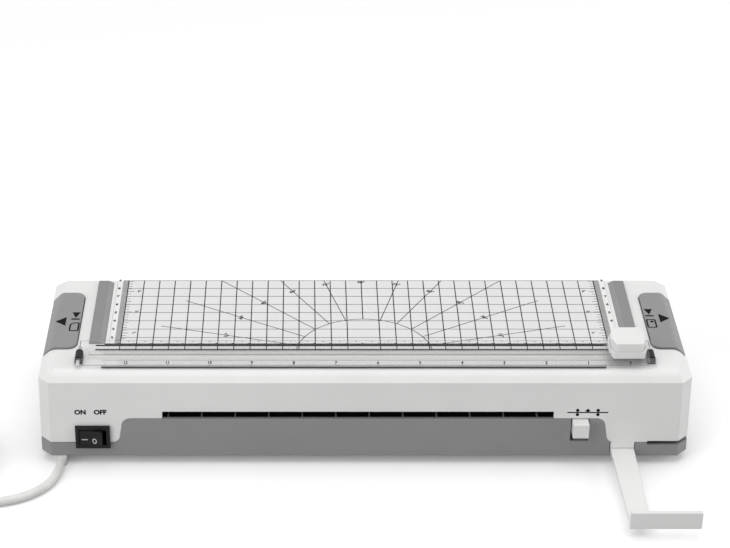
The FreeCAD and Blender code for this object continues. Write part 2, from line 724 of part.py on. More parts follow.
def cutting_strip():
    """Soft strip under the blade, with the groove that the blade runs in."""
    half = STRIP_WIDTH / 2
    strip = box(-STRIP_LENGTH / 2, STRIP_LENGTH / 2, CUT_DEPTH - half, CUT_DEPTH + half,
                Z_TOP - STRIP_THICK, Z_TOP)
    groove = box(-STRIP_LENGTH, STRIP_LENGTH, CUT_DEPTH - GROOVE_WIDTH / 2, CUT_DEPTH + GROOVE_WIDTH / 2,
                 Z_TOP - GROOVE_DEPTH, Z_TOP + ROOM)
    return strip.cut(groove)


def right_fence():
    """Grey strip beside the mat, sloped on its inner side."""
    inner = FENCE_OUTER - FENCE_WIDTH
    outline = [(inner, Z_TOP), (inner + FENCE_SLOPE, Z_TOP + FENCE_RISE),
               (FENCE_OUTER, Z_TOP + FENCE_RISE), (FENCE_OUTER, Z_TOP)]
    back = BODY_DEPTH - face_depth(Z_SHOULDER) - SHOULDER - FENCE_BACK_GAP
    return prism_y(outline, FENCE_FRONT, back)


def feet():
    """Four rubber feet under the corners."""
    pads = []
    for x in (-HALF_WIDTH + FOOT_INSET, HALF_WIDTH - FOOT_INSET):
        for depth in (FRONT_FOOT, BODY_DEPTH - FOOT_INSET):
            pads.append(rod_z(FOOT_RADIUS, x, depth, 0, Z_BASE))
    return Part.makeCompound(pads)


def base_screws():
    """Four screws up through the base into the posts of the lid."""
    screws = []
    for x, depth in screw_places():
        head = rod_z(SCREW_HEAD, x, depth, Z_BASE - SCREW_HEAD_HEIGHT, Z_BASE)
        shank = rod_z(SCREW_RADIUS, x, depth, Z_BASE, Z_BASE + SCREW_LENGTH)
        screws.append(joined([head, shank]))
    return Part.makeCompound(screws)


def right_frame():
    """Steel side plate with the lower bush hole, the bearing window and the release shaft hole."""
    plate = box(FRAME_FACE, FRAME_FACE + FRAME_SHEET, FRAME_FRONT, FRAME_BACK, Z_FLOOR, Z_FRAME_TOP)
    x0 = FRAME_FACE - ROOM
    x1 = FRAME_FACE + ROOM
    bush = rod_x(BUSH_RADIUS + RUN_CLEAR, x0, x1, ROLLER_DEPTH, Z_LOWER_ROLLER)
    half = BLOCK_WIDTH / 2 + SLIDE_CLEAR
    window = box(x0, x1, ROLLER_DEPTH - half, ROLLER_DEPTH + half,
                 Z_UPPER_ROLLER - BLOCK_HEIGHT / 2 - SLIDE_CLEAR, Z_FRAME_TOP - BRIDGE_SHEET)
    shaft = rod_x(RELEASE_RADIUS + RUN_CLEAR, x0, x1, RELEASE_DEPTH, Z_RELEASE)
    shelf_x = FRAME_FACE + FRAME_SHEET / 2
    reach = PRESSURE_SPRING_RADIUS + PRESSURE_SPRING_WIRE
    shelf = box(shelf_x - reach, shelf_x + reach, ROLLER_DEPTH - half, ROLLER_DEPTH + half,
                Z_FRAME_TOP - BRIDGE_SHEET, Z_FRAME_TOP)
    return joined([plate.cut([bush, window, shaft]), shelf])


def heater(z_low):
    """Flat aluminium heating plate carried between the side frames."""
    half = FRAME_FACE - END_CLEAR
    return box(-half, half, HEATER_FRONT, HEATER_BACK, z_low, z_low + HEATER_PLATE)


def entry_guide():
    """Dark throat from the front slot to the heaters."""
    front = face_depth(Z_PANEL) + WALL + SLIDE_CLEAR
    floor_z = Z_PANEL - GUIDE_DROP
    roof_z = Z_SLOT_TOP + SLIDE_CLEAR
    bend = face_depth(Z_PANEL) + WALL + RIB_LENGTH + 2 * SLIDE_CLEAR
    back = HEATER_FRONT - END_CLEAR
    z_in = Z_PATH - HEATER_GAP / 2
    z_out = Z_PATH + HEATER_GAP / 2
    x0 = SLOT_LEFT - GUIDE_SIDE_GAP
    x1 = SLOT_RIGHT + GUIDE_SIDE_GAP
    lower = prism_x([(front, floor_z - GUIDE_WALL), (front, floor_z), (bend, floor_z), (back, z_in),
                     (back, z_in - GUIDE_WALL), (bend, floor_z - GUIDE_WALL)], x0, x1)
    upper = prism_x([(front + WALL, roof_z), (front + WALL, roof_z + GUIDE_WALL),
                     (bend, roof_z + GUIDE_WALL), (back, z_out + GUIDE_WALL),
                     (back, z_out), (bend, roof_z)], x0, x1)
    cheek = [(front + WALL, floor_z - GUIDE_WALL), (front + WALL, roof_z + GUIDE_WALL),
             (bend, roof_z + GUIDE_WALL), (back, z_out + GUIDE_WALL), (back, z_in - GUIDE_WALL),
             (bend, floor_z - GUIDE_WALL)]
    left = prism_x(cheek, x0 - GUIDE_WALL, x0)
    right = prism_x(cheek, x1, x1 + GUIDE_WALL)
    return joined([lower, upper, left, right])


def exit_guide():
    """Flat shelf and roof that lead the sheet from the rollers to the back slot."""
    start = ROLLER_DEPTH + ROLLER_RADIUS + GEAR_GAP
    end = BODY_DEPTH - face_depth(Z_PANEL) - WALL - SLIDE_CLEAR
    x0 = SLOT_LEFT - GUIDE_SIDE_GAP
    x1 = SLOT_RIGHT + GUIDE_SIDE_GAP
    shelf = box(x0, x1, start, end, Z_PANEL - GUIDE_DROP, Z_PANEL)
    roof = box(x0, x1, start, end - WALL, Z_SLOT_TOP + SLIDE_CLEAR, Z_SLOT_TOP + SLIDE_CLEAR + GUIDE_DROP)
    z_high = Z_SLOT_TOP + SLIDE_CLEAR + GUIDE_DROP
    left = box(x0 - GUIDE_WALL, x0, start, end - WALL, Z_PANEL - GUIDE_DROP, z_high)
    right = box(x1, x1 + GUIDE_WALL, start, end - WALL, Z_PANEL - GUIDE_DROP, z_high)
    return joined([shelf, roof, left, right])


def roller_shaft(z):
    """Steel roller shaft from beyond the left frame to the gear at the right."""
    left = -FRAME_FACE - FRAME_SHEET - GEAR_GAP
    return rod_x(SHAFT_RADIUS, left, GEAR_FACE + GEAR_WIDTH, ROLLER_DEPTH, z)


def roller_sleeve(z):
    """Silicone sleeve on a roller shaft."""
    half = ROLLER_LENGTH / 2
    sleeve = rod_x(ROLLER_RADIUS, -half, half, ROLLER_DEPTH, z)
    return sleeve.cut(rod_x(SHAFT_RADIUS, -half, half, ROLLER_DEPTH, z))


def lower_bushes():
    """Plain bushes of the lower roller in both side frames."""
    bushes = []
    inset = (BUSH_LENGTH - FRAME_SHEET) / 2
    for side in (-1, 1):
        middle = side * (FRAME_FACE + FRAME_SHEET / 2)
        x0 = middle - FRAME_SHEET / 2 - inset
        x1 = middle + FRAME_SHEET / 2 + inset
        bush = rod_x(BUSH_RADIUS, x0, x1, ROLLER_DEPTH, Z_LOWER_ROLLER)
        bushes.append(bush.cut(rod_x(SHAFT_RADIUS + RUN_CLEAR, x0, x1, ROLLER_DEPTH, Z_LOWER_ROLLER)))
    return Part.makeCompound(bushes)


def upper_bearings():
    """Bearing blocks of the upper roller, free to rise in the windows of the side frames."""
    blocks = []
    for side in (-1, 1):
        middle = side * (FRAME_FACE + FRAME_SHEET / 2)
        x0 = middle - BLOCK_LENGTH / 2
        x1 = middle + BLOCK_LENGTH / 2
        block = box(x0, x1, ROLLER_DEPTH - BLOCK_WIDTH / 2, ROLLER_DEPTH + BLOCK_WIDTH / 2,
                    Z_UPPER_ROLLER - BLOCK_HEIGHT / 2, Z_UPPER_ROLLER + BLOCK_HEIGHT / 2)
        blocks.append(block.cut(rod_x(SHAFT_RADIUS + RUN_CLEAR, x0, x1, ROLLER_DEPTH, Z_UPPER_ROLLER)))
    return Part.makeCompound(blocks)


def spring(radius, wire, turns, x, depth, z_low, z_high):
    """Coil spring between two heights, its wire swept round a helix."""
    rise = z_high - z_low - wire
    helix = Part.makeHelix(rise / turns, rise, radius)
    start = FreeCAD.Vector(radius, 0, 0)
    section = Part.Wire(Part.makeCircle(wire / 2, start, FreeCAD.Vector(0, 1, 0)))
    coil = Part.Wire(helix).makePipeShell([section], True, True)
    coil.translate(FreeCAD.Vector(x, at(depth), z_low + wire / 2))
    return coil


def pressure_springs():
    """Springs that press the upper bearings down from the bridges of the side frames."""
    coils = []
    z_low = Z_UPPER_ROLLER + BLOCK_HEIGHT / 2 + SPRING_GAP
    z_high = Z_FRAME_TOP - BRIDGE_SHEET - SPRING_GAP
    for side in (-1, 1):
        x = side * (FRAME_FACE + FRAME_SHEET / 2)
        coils.append(spring(PRESSURE_SPRING_RADIUS, PRESSURE_SPRING_WIRE, PRESSURE_SPRING_TURNS,
                            x, ROLLER_DEPTH, z_low, z_high))
    return Part.makeCompound(coils)


def involute(angle):
    """Involute function of a pressure angle in radians."""
    return math.tan(angle) - angle


def gear(teeth, bore, x0, depth, z, tooth_angle):
    """Spur gear along X with one tooth pointing at an angle, counted from +Y towards +Z."""
    pitch_radius = GEAR_MODULE * teeth / 2
    pressure = math.radians(20)
    base_radius = pitch_radius * math.cos(pressure)
    tip_radius = pitch_radius + TOOTH_TIP * GEAR_MODULE
    root_radius = pitch_radius - TOOTH_ROOT * GEAR_MODULE
    flank_start = max(base_radius, root_radius)
    half_tooth = (math.pi * GEAR_MODULE / 2 - BACKLASH) / 2 / pitch_radius + involute(pressure)
    steps = 4
    flank = []
    for step in range(steps + 1):
        radius = flank_start + (tip_radius - flank_start) * step / steps
        flank.append((radius, half_tooth - involute(math.acos(min(1.0, base_radius / radius)))))
    flank.insert(0, (root_radius, flank[0][1]))
    outline = []
    for number in range(teeth):
        middle = tooth_angle + 2 * math.pi * number / teeth
        tooth = [(radius, middle - half) for radius, half in flank]
        tooth += [(radius, middle + half) for radius, half in reversed(flank)]
        outline += [(depth + r * math.cos(a), z + r * math.sin(a)) for r, a in tooth]
    blank = prism_x(outline, x0, x0 + GEAR_WIDTH)
    return blank.cut(rod_x(bore, x0, x0 + GEAR_WIDTH, depth, z))


def motor():
    """Geared motor on two standoffs outside the right frame, its shaft through the pinion."""
    middle = PINION_DEPTH + MOTOR_SHIFT
    z = Z_LOWER_ROLLER + MOTOR_RISE
    body = rod_x(MOTOR_RADIUS, MOTOR_FACE, MOTOR_FACE + MOTOR_LENGTH, middle, z)
    spread = MOTOR_RADIUS - STANDOFF_RADIUS - STANDOFF_EDGE
    pieces = [body]
    for turn in (0.0, 75.0):
        depth = middle + spread * math.cos(math.radians(turn))
        height = z + spread * math.sin(math.radians(turn))
        pieces.append(rod_x(STANDOFF_RADIUS, FRAME_FACE + FRAME_SHEET, MOTOR_FACE + STANDOFF_SINK, depth, height))
    return joined(pieces)


def motor_ears():
    """Ears of the right frame that reach back to the motor standoffs."""
    return box(FRAME_FACE, FRAME_FACE + FRAME_SHEET, FRAME_BACK, PINION_DEPTH + MOTOR_SHIFT + MOTOR_RADIUS,
               Z_LOWER_ROLLER + MOTOR_RISE - STANDOFF_RADIUS * 2, Z_FRAME_TOP)


def motor_pinion():
    """Pinion and its stub shaft into the motor."""
    wheel = gear(PINION_TEETH, MOTOR_SHAFT / 2, GEAR_FACE, PINION_DEPTH, Z_LOWER_ROLLER, math.pi)
    stub = rod_x(MOTOR_SHAFT / 2, GEAR_FACE, MOTOR_FACE - END_CLEAR * 3, PINION_DEPTH, Z_LOWER_ROLLER)
    return joined([wheel, stub])


def circuit_board():
    """Control board with a relay, a fuse holder and a terminal row."""
    z = Z_FLOOR + BOARD_RISE
    board = box(BOARD_LEFT, BOARD_LEFT + BOARD_WIDTH, BOARD_FRONT, BOARD_FRONT + BOARD_LENGTH,
                z, z + BOARD_THICK)
    top = z + BOARD_THICK
    x0 = BOARD_LEFT + BOARD_INSET
    x1 = BOARD_LEFT + BOARD_WIDTH - BOARD_INSET
    middle = BOARD_FRONT + BOARD_LENGTH / 2
    end = BOARD_FRONT + BOARD_LENGTH - TERMINAL_INSET
    relay = box(x0, x1, middle, middle + RELAY_LENGTH, top, top + RELAY_HEIGHT)
    fuse_start = BOARD_FRONT + FUSE_INSET
    fuse = rod_y(FUSE_RADIUS, (x0 + x1) / 2, fuse_start, fuse_start + FUSE_LENGTH, top + FUSE_RISE)
    terminal = box(x0, x1, end - TERMINAL_LENGTH, end, top, top + TERMINAL_HEIGHT)
    return joined([board, relay, fuse, terminal])


def clear_rail():
    """Clear bar with a blade slot, notched ends, a bevelled front and a rounded hinge end."""
    half = RAIL_LENGTH / 2
    outline = [(RAIL_FRONT, Z_RAIL), (RAIL_FRONT, Z_RAIL + RAIL_NOSE), (RAIL_FRONT + RAIL_BEVEL, Z_RAIL_TOP),
               (RAIL_REAR, Z_RAIL_TOP), (RAIL_REAR, Z_RAIL)]
    rail = prism_x(outline, RAIL_PIVOT_X, half)
    nose = prism_x(outline, -half, RAIL_PIVOT_X)
    nose = nose.common(rod_y(RAIL_THICK / 2, RAIL_PIVOT_X, RAIL_FRONT, RAIL_REAR, Z_RAIL_PIVOT))
    rail = joined([rail, nose])
    cuts = [box(SLOT_START, SLOT_END, CUT_DEPTH - RAIL_SLOT_WIDTH / 2, CUT_DEPTH + RAIL_SLOT_WIDTH / 2,
                Z_RAIL - OVERCUT, Z_RAIL_TOP + OVERCUT)]
    notch_half = LUG_WIDTH / 2 + LUG_CLEAR
    notch_reach = RAIL_THICK + LUG_CLEAR
    for side in (-1, 1):
        ends = sorted((side * (half + OVERCUT), side * (half - notch_reach)))
        cuts.append(box(ends[0], ends[1], LUG_DEPTH - notch_half, LUG_DEPTH + notch_half,
                        Z_RAIL - OVERCUT, Z_RAIL_TOP + OVERCUT))
    pin_half = RAIL_PIN_LENGTH / 2 + LUG_CLEAR
    pin_front = max(RAIL_FRONT - OVERCUT, LUG_DEPTH - pin_half)
    cuts.append(rod_y(RAIL_PIN_RADIUS + RUN_CLEAR, RAIL_PIVOT_X, pin_front, LUG_DEPTH + pin_half, Z_RAIL_PIVOT))
    cuts.append(box(GRIP_LEFT, GRIP_RIGHT, RAIL_FRONT - OVERCUT, RAIL_FRONT + GRIP_WIDTH,
                    Z_RAIL - OVERCUT, Z_RAIL + GRIP_HEIGHT))
    return rail.cut(cuts)


def rail_grip():
    """Dark strip under the front edge of the rail that holds the sheet."""
    return box(GRIP_LEFT, GRIP_RIGHT, RAIL_FRONT, RAIL_FRONT + GRIP_WIDTH, Z_RAIL, Z_RAIL + GRIP_HEIGHT)


def slot_guides():
    """Dark metal strips along both upper edges of the blade slot."""
    rear = CUT_DEPTH + RAIL_SLOT_WIDTH / 2
    front = CUT_DEPTH - RAIL_SLOT_WIDTH / 2
    z_low = Z_RAIL_TOP - LINER_HEIGHT
    strips = [box(SLOT_START, SLOT_END, rear - SLOT_LINER, rear, z_low, Z_RAIL_TOP),
              box(SLOT_START, SLOT_END, front, front + SLOT_LINER, z_low, Z_RAIL_TOP)]
    return Part.makeCompound(strips)


def rail_pin():
    """Hinge pin through the left lug and the two ears of the rail."""
    half = RAIL_PIN_LENGTH / 2
    front = max(RAIL_FRONT + END_CLEAR, LUG_DEPTH - half)
    return rod_y(RAIL_PIN_RADIUS, RAIL_PIVOT_X, front, LUG_DEPTH + half, Z_RAIL_PIVOT)


def cap_block(margin, z0, z1):
    """Eight-sided block of the cutter head with eased corners, grown sideways by a margin."""
    half_x = CAP_WIDTH / 2 + margin
    half_d = CAP_DEPTH / 2 + margin
    side = [(half_x - CAP_CUT_WIDTH, -half_d), (half_x, CAP_CUT_DEPTH - half_d),
            (half_x, half_d - CAP_CUT_DEPTH), (half_x - CAP_CUT_WIDTH, half_d)]
    corners = side + [(-x, d) for x, d in reversed(side)]
    block = prism_z([(CUTTER_X + x, CUTTER_DEPTH_MID + d) for x, d in corners], z0, z1)
    uprights = [edge for edge in block.Edges if edge.BoundBox.ZLength > END_CLEAR]
    return block.makeFillet(CAP_CORNER, uprights)


def stem_opening(z0, z1):
    """Space for the blade holder through the shoe."""
    half_x = CHEEK_WIDTH / 2 + CAP_CLEAR + BLADE_RADIUS / 2
    half_d = RAIL_SLOT_WIDTH / 2 - SLOT_LINER
    return box(CUTTER_X - half_x, CUTTER_X + half_x, CUT_DEPTH - half_d, CUT_DEPTH + half_d, z0, z1)


def shoe_top():
    """Points (depth, z) along the upper side of the shoe, from its nose to its back."""
    bevel = math.atan2(RAIL_THICK - RAIL_NOSE, RAIL_BEVEL)
    nose_z = Z_RAIL + RAIL_NOSE + SHOE_SKIRT * math.tan(bevel) + SHOE_GAP / math.cos(bevel)
    bend = RAIL_FRONT + RAIL_BEVEL - SHOE_PLATE * math.tan(bevel / 2)
    back = RAIL_REAR + SHOE_GAP + SHOE_SKIRT
    return [(RAIL_FRONT + SHOE_SKIRT, nose_z + SHOE_PLATE), (bend, Z_RING), (back, Z_RING)]


def slider_shoe():
    """Clear shoe that rides on the rail, with a sloping front and a skirt behind."""
    top = shoe_top()
    nose, nose_z = top[0]
    bevel = math.atan2(RAIL_THICK - RAIL_NOSE, RAIL_BEVEL)
    bend = RAIL_FRONT + RAIL_BEVEL - SHOE_GAP * math.tan(bevel / 2)
    back = RAIL_REAR + SHOE_GAP
    skirt_z = Z_SHOE - SHOE_SKIRT_DROP
    outline = top + [(back + SHOE_SKIRT, skirt_z), (back, skirt_z), (back, Z_SHOE), (bend, Z_SHOE),
                     (nose, nose_z - SHOE_PLATE)]
    shoe = prism_x(outline, CUTTER_X - SHOE_WIDTH / 2, CUTTER_X + SHOE_WIDTH / 2)
    return shoe.cut(stem_opening(Z_RAIL_TOP, Z_RING + WALL))


def slider_housing():
    """White collar on the shoe that the cutter button slides in; its front hangs over the slope."""
    low = Z_RING - RING_SKIRT
    ring = cap_block(CAP_CLEAR + RING_WALL, low, Z_RING_TOP)
    inner = cap_block(CAP_CLEAR, low, Z_RING_TOP)
    top = shoe_top()
    under = top + [(top[-1][0], Z_RAIL), (top[0][0], Z_RAIL)]
    return ring.cut([inner, prism_x(under, CUTTER_X - SHOE_WIDTH, CUTTER_X + SHOE_WIDTH)])


def cutter_button():
    """White push cap with a pocket for the blade and two cheeks that hold its axle."""
    cap = cap_block(0.0, Z_CAP, Z_CAP + CAP_HEIGHT)
    top_edges = [edge for edge in cap.Edges if edge.BoundBox.ZMin > Z_CAP + CAP_HEIGHT - LAY_CLEAR]
    cap = cap.makeFillet(CAP_ROUND, top_edges)
    half_x = CHEEK_WIDTH / 2
    cheek_in = BLADE_THICK / 2 + BLADE_SIDE_GAP
    cheeks = []
    for low, high in ((-cheek_in - CHEEK_THICK, -cheek_in), (cheek_in, cheek_in + CHEEK_THICK)):
        cheeks.append(box(CUTTER_X - half_x, CUTTER_X + half_x, CUT_DEPTH + low, CUT_DEPTH + high,
                          Z_BLADE - CHEEK_REACH, Z_CAP + CAP_HEIGHT / 4))
    cap = joined([cap] + cheeks)
    pocket = rod_y(BLADE_RADIUS + CAP_CLEAR, CUTTER_X, CUT_DEPTH - cheek_in, CUT_DEPTH + cheek_in, Z_BLADE)
    hole = rod_y(AXLE_RADIUS, CUTTER_X, CUT_DEPTH - ROOM / 2, CUT_DEPTH + ROOM / 2, Z_BLADE)
    return cap.cut([pocket, hole])


def blade_axle():
    """Short steel axle of the blade."""
    reach = BLADE_THICK / 2 + BLADE_SIDE_GAP + CHEEK_THICK
    return rod_y(AXLE_RADIUS, CUTTER_X, CUT_DEPTH - reach, CUT_DEPTH + reach, Z_BLADE)


def round_blade():
    """Round cutting blade on its axle."""
    d0 = CUT_DEPTH - BLADE_THICK / 2
    d1 = CUT_DEPTH + BLADE_THICK / 2
    disc = rod_y(BLADE_RADIUS, CUTTER_X, d0, d1, Z_BLADE)
    return disc.cut(rod_y(AXLE_RADIUS + RUN_CLEAR, CUTTER_X, d0, d1, Z_BLADE))


def press_lever():
    """Right press lever: a pad over the edge of the lid with two hinge ears below."""
    slope = PAD_OUTER - (HALF_WIDTH - SIDE_DRAFT - SHOULDER) + PAD_RISE
    bend_x = PAD_OUTER - slope + PAD_RISE / 2
    corner_z = Z_PAD - (PAD_OUTER - bend_x)
    skirt_z = Z_SHOULDER - PAD_SKIRT
    inner_x = PAD_OUTER - PAD_SKIRT_WALL
    under_bend = bend_x - PAD_THICK * math.tan(math.pi / 8)
    under_corner = Z_PAD_UNDER - (inner_x - under_bend)
    outline = [(PAD_INNER, Z_PAD_UNDER), (PAD_INNER, Z_PAD), (bend_x, Z_PAD), (PAD_OUTER, corner_z),
               (PAD_OUTER, skirt_z), (inner_x, skirt_z), (inner_x, under_corner), (under_bend, Z_PAD_UNDER)]
    pad = prism_y(outline, PAD_FRONT, PAD_BACK)
    bend = [
        edge for edge in pad.Edges
        if edge.BoundBox.ZMin > Z_PAD - LAY_CLEAR
        and edge.BoundBox.XMin > PAD_INNER + PAD_CLEAR
    ]
    pad = pad.makeFillet(PAD_BEND, bend).common(pad_outline(0.0))
    apron = box(APRON_OUTER - APRON_SHEET, APRON_OUTER, PAD_FRONT + PAD_CLEAR, PAD_BACK - PAD_CLEAR,
                skirt_z - PAD_ROOM - APRON_LAP, under_corner + PAD_THICK)
    apron = apron.cut(box(PLUNGER_X, PAD_OUTER, PRESS_MID - APRON_NOTCH, PRESS_MID + APRON_NOTCH,
                          skirt_z - PAD_ROOM - ROOM, Z_PAD))
    ears = []
    holes = []
    for d0 in (UPRIGHT_FRONT + UPRIGHT_THICK + EAR_GAP, UPRIGHT_BACK - UPRIGHT_THICK - EAR_GAP - EAR_THICK):
        d1 = d0 + EAR_THICK
        ears.append(rod_y(EAR_RADIUS, LEVER_PIN_X, d0, d1, Z_LEVER_PIN))
        ears.append(box(LEVER_PIN_X, PAD_INNER + EAR_RADIUS, d0, d1,
                        Z_LEVER_PIN, Z_LEVER_PIN + EAR_RADIUS))
        ears.append(box(PAD_INNER, PAD_INNER + EAR_RADIUS, d0, d1,
                        Z_LEVER_PIN, Z_PAD_UNDER + PAD_THICK / 2))
        holes.append(rod_y(LEVER_PIN_RADIUS + RUN_CLEAR, LEVER_PIN_X, d0 - OVERCUT, d1 + OVERCUT, Z_LEVER_PIN))
    return joined([pad, apron] + ears).cut(holes)


def lever_pin():
    """Pin of the right press lever between the uprights of its frame."""
    return rod_y(LEVER_PIN_RADIUS, LEVER_PIN_X, UPRIGHT_FRONT, UPRIGHT_BACK, Z_LEVER_PIN)


def press_frame(die_hole):
    """Frame of the right press: die, open throat for the sheet, plunger guide and hinge uprights."""
    front = PRESS_MID - PRESS_DEPTH / 2
    back = PRESS_MID + PRESS_DEPTH / 2
    die = box(POST_INNER, PRESS_REACH, front, back, Z_FLOOR, Z_DIE)
    post = box(POST_INNER, POST_OUTER, front, back, Z_FLOOR, Z_GUIDE_BLOCK_TOP)
    guide = box(POST_INNER, PRESS_REACH, front, back, Z_GUIDE_BLOCK, Z_GUIDE_BLOCK_TOP)
    web = box(POST_INNER, POST_OUTER, UPRIGHT_FRONT, UPRIGHT_BACK, Z_FLOOR, Z_GUIDE_BLOCK)
    pieces = [die, post, guide, web]
    holes = [die_hole, rod_z(PLUNGER_RADIUS + PLUNGER_CLEAR, PLUNGER_X, PRESS_MID, Z_DIE, Z_PAD)]
    for d0 in (UPRIGHT_FRONT, UPRIGHT_BACK - UPRIGHT_THICK):
        d1 = d0 + UPRIGHT_THICK
        pieces.append(box(POST_INNER, POST_OUTER, d0, d1, Z_FLOOR, Z_LEVER_PIN))
        pieces.append(box(POST_INNER, LEVER_PIN_X, d0, d1,
                          Z_LEVER_PIN - EAR_RADIUS, Z_LEVER_PIN + EAR_RADIUS))
        pieces.append(rod_y(EAR_RADIUS, LEVER_PIN_X, d0, d1, Z_LEVER_PIN))
        holes.append(rod_y(LEVER_PIN_RADIUS, LEVER_PIN_X, d0, d1, Z_LEVER_PIN))
    return joined(pieces).cut(holes)


def punch_die_hole():
    """Round hole of the punch die."""
    return rod_z(PLUNGER_RADIUS + DIE_CLEAR, PLUNGER_X, PRESS_MID, Z_BASE, Z_DIE + OVERCUT)


def corner_blade_block(z0, z1, clear):
    """Square block with one rounded corner, grown by a clearance."""
    half = CORNER_BLADE / 2 + clear
    block = box(PLUNGER_X - half, PLUNGER_X + half, PRESS_MID - half, PRESS_MID + half, z0, z1)
    corner = [
        edge for edge in block.Edges
        if edge.BoundBox.XMin > PLUNGER_X
        and edge.BoundBox.YMax < at(PRESS_MID)
        and edge.BoundBox.ZLength > END_CLEAR
    ]
    return block.makeFillet(CORNER_BLADE / 2, corner)


def plunger_top():
    """Shank, collar and domed head that both plungers share."""
    tip = Z_PAPER_TOP + PLUNGER_LIFT
    shank = rod_z(PLUNGER_RADIUS, PLUNGER_X, PRESS_MID, tip, Z_HEAD)
    collar = rod_z(COLLAR_RADIUS, PLUNGER_X, PRESS_MID, Z_COLLAR, Z_COLLAR + COLLAR_HEIGHT)
    head = Part.makeSphere(HEAD_RADIUS, FreeCAD.Vector(PLUNGER_X, at(PRESS_MID), Z_HEAD))
    return joined([shank, collar, head])


def corner_plunger():
    """Plunger of the corner press with its rounded-corner blade."""
    tip = Z_PAPER_TOP + PLUNGER_LIFT
    return joined([plunger_top(), corner_blade_block(tip, tip + CORNER_BLADE_HEIGHT, 0.0)])


def return_spring(side):
    """Spring round one plunger, between its guide block and its collar."""
    return spring(RETURN_SPRING_RADIUS, RETURN_SPRING_WIRE, RETURN_SPRING_TURNS, side * PLUNGER_X, PRESS_MID,
                  Z_GUIDE_BLOCK_TOP + SPRING_GAP, Z_COLLAR - SPRING_GAP)


def trunnion(radius, reach):
    """Upright pivot of the rocker, reaching past its ends."""
    half = SWITCH_TALL / 2 - SWITCH_RIM + reach
    start = FreeCAD.Vector(0, ROCKER_PIVOT, -half)
    return Part.makeCylinder(radius, 2 * half, start, FreeCAD.Vector(0, 0, 1))


def switch_bezel():
    """Black switch body behind the front face with its flange and the well for the rocker."""
    flange = switch_block(SWITCH_WIDTH, SWITCH_TALL, -SWITCH_FLANGE, 0)
    clear = 2 * RUN_CLEAR
    body = switch_block(SWITCH_BODY_WIDTH - clear, SWITCH_BODY_TALL - clear, 0, SWITCH_BODY_DEPTH)
    well = switch_block(SWITCH_WIDTH - 2 * SWITCH_RIM, SWITCH_TALL - 2 * SWITCH_RIM,
                        -SWITCH_FLANGE, SWITCH_BODY_DEPTH - SWITCH_RIM)
    sockets = trunnion(TRUNNION_RADIUS + RUN_CLEAR, TRUNNION_REACH + RUN_CLEAR)
    return switch_place(joined([flange, body]).cut([well, sockets]))


def rocker():
    """Rocker of the switch on its trunnion, tipped so that its left half lies deep."""
    half = SWITCH_WIDTH / 2 - SWITCH_RIM - ROCKER_SIDE
    tall = SWITCH_TALL - 2 * SWITCH_RIM - 2 * ROCKER_CLEAR
    rise = half * math.tan(math.radians(ROCKER_SWING))
    front = -SWITCH_FLANGE - ROCKER_PROUD
    root = ROCKER_PIVOT + ROCKER_ROOT
    narrow = half - ROCKER_TAPER
    outline = [(-half, front), (0, front + rise), (half, front), (narrow, root), (-narrow, root)]
    points = [FreeCAD.Vector(x, y, -tall / 2) for x, y in outline]
    block = Part.Face(Part.makePolygon(points + points[:1])).extrude(FreeCAD.Vector(0, 0, tall))
    block = joined([block, trunnion(TRUNNION_RADIUS, TRUNNION_REACH)])
    block.rotate(FreeCAD.Vector(0, ROCKER_PIVOT, 0), FreeCAD.Vector(0, 0, 1), -ROCKER_SWING)
    return switch_place(block)


def jam_lever():
    """White release lever: finger through the panel, curved apron behind it and arm to the shaft."""
    x0 = JAM_X - JAM_WIDTH / 2
    x1 = JAM_X + JAM_WIDTH / 2
    wall_back = face_depth(Z_JAM) + WALL
    outer = RELEASE_DEPTH - wall_back - APRON_GAP
    finger = box(x0, x1, -JAM_REACH, wall_back + APRON_GAP + APRON_WALL, Z_JAM, Z_JAM + JAM_HEIGHT)
    apron_low = Z_JAM - JAM_CLEAR
    apron_high = Z_PANEL + PANEL_FLARE
    side = JAM_CLEAR + APRON_SIDE
    apron = rod_x(outer, x0 - side, x1 + side, RELEASE_DEPTH, Z_RELEASE)
    apron = apron.cut(rod_x(outer - APRON_WALL, x0 - side, x1 + side, RELEASE_DEPTH, Z_RELEASE))
    apron = apron.common(box(x0 - ROOM, x1 + ROOM, -ROOM, RELEASE_DEPTH - ROOM, apron_low, apron_high))
    arm_x0 = FRAME_FACE + FRAME_SHEET + GEAR_GAP / 2
    arm_front = wall_back + APRON_GAP + 2 * APRON_WALL
    spread = JAM_HUB * ARM_SPREAD
    arm = prism_x([(wall_back + APRON_GAP + APRON_WALL / 2, Z_JAM), (arm_front, Z_JAM + JAM_HEIGHT),
                   (RELEASE_DEPTH - JAM_HUB / 2, Z_RELEASE + spread), (RELEASE_DEPTH, Z_RELEASE),
                   (RELEASE_DEPTH - JAM_HUB / 2, Z_RELEASE - spread), (arm_front + JAM_HEIGHT, Z_JAM)],
                  arm_x0, arm_x0 + JAM_ARM)
    hub = rod_x(JAM_HUB, arm_x0, arm_x0 + JAM_ARM, RELEASE_DEPTH, Z_RELEASE)
    bore = rod_x(RELEASE_RADIUS, arm_x0 - OVERCUT, arm_x0 + JAM_ARM + OVERCUT, RELEASE_DEPTH, Z_RELEASE)
    return joined([finger, apron, arm, hub]).cut(bore)


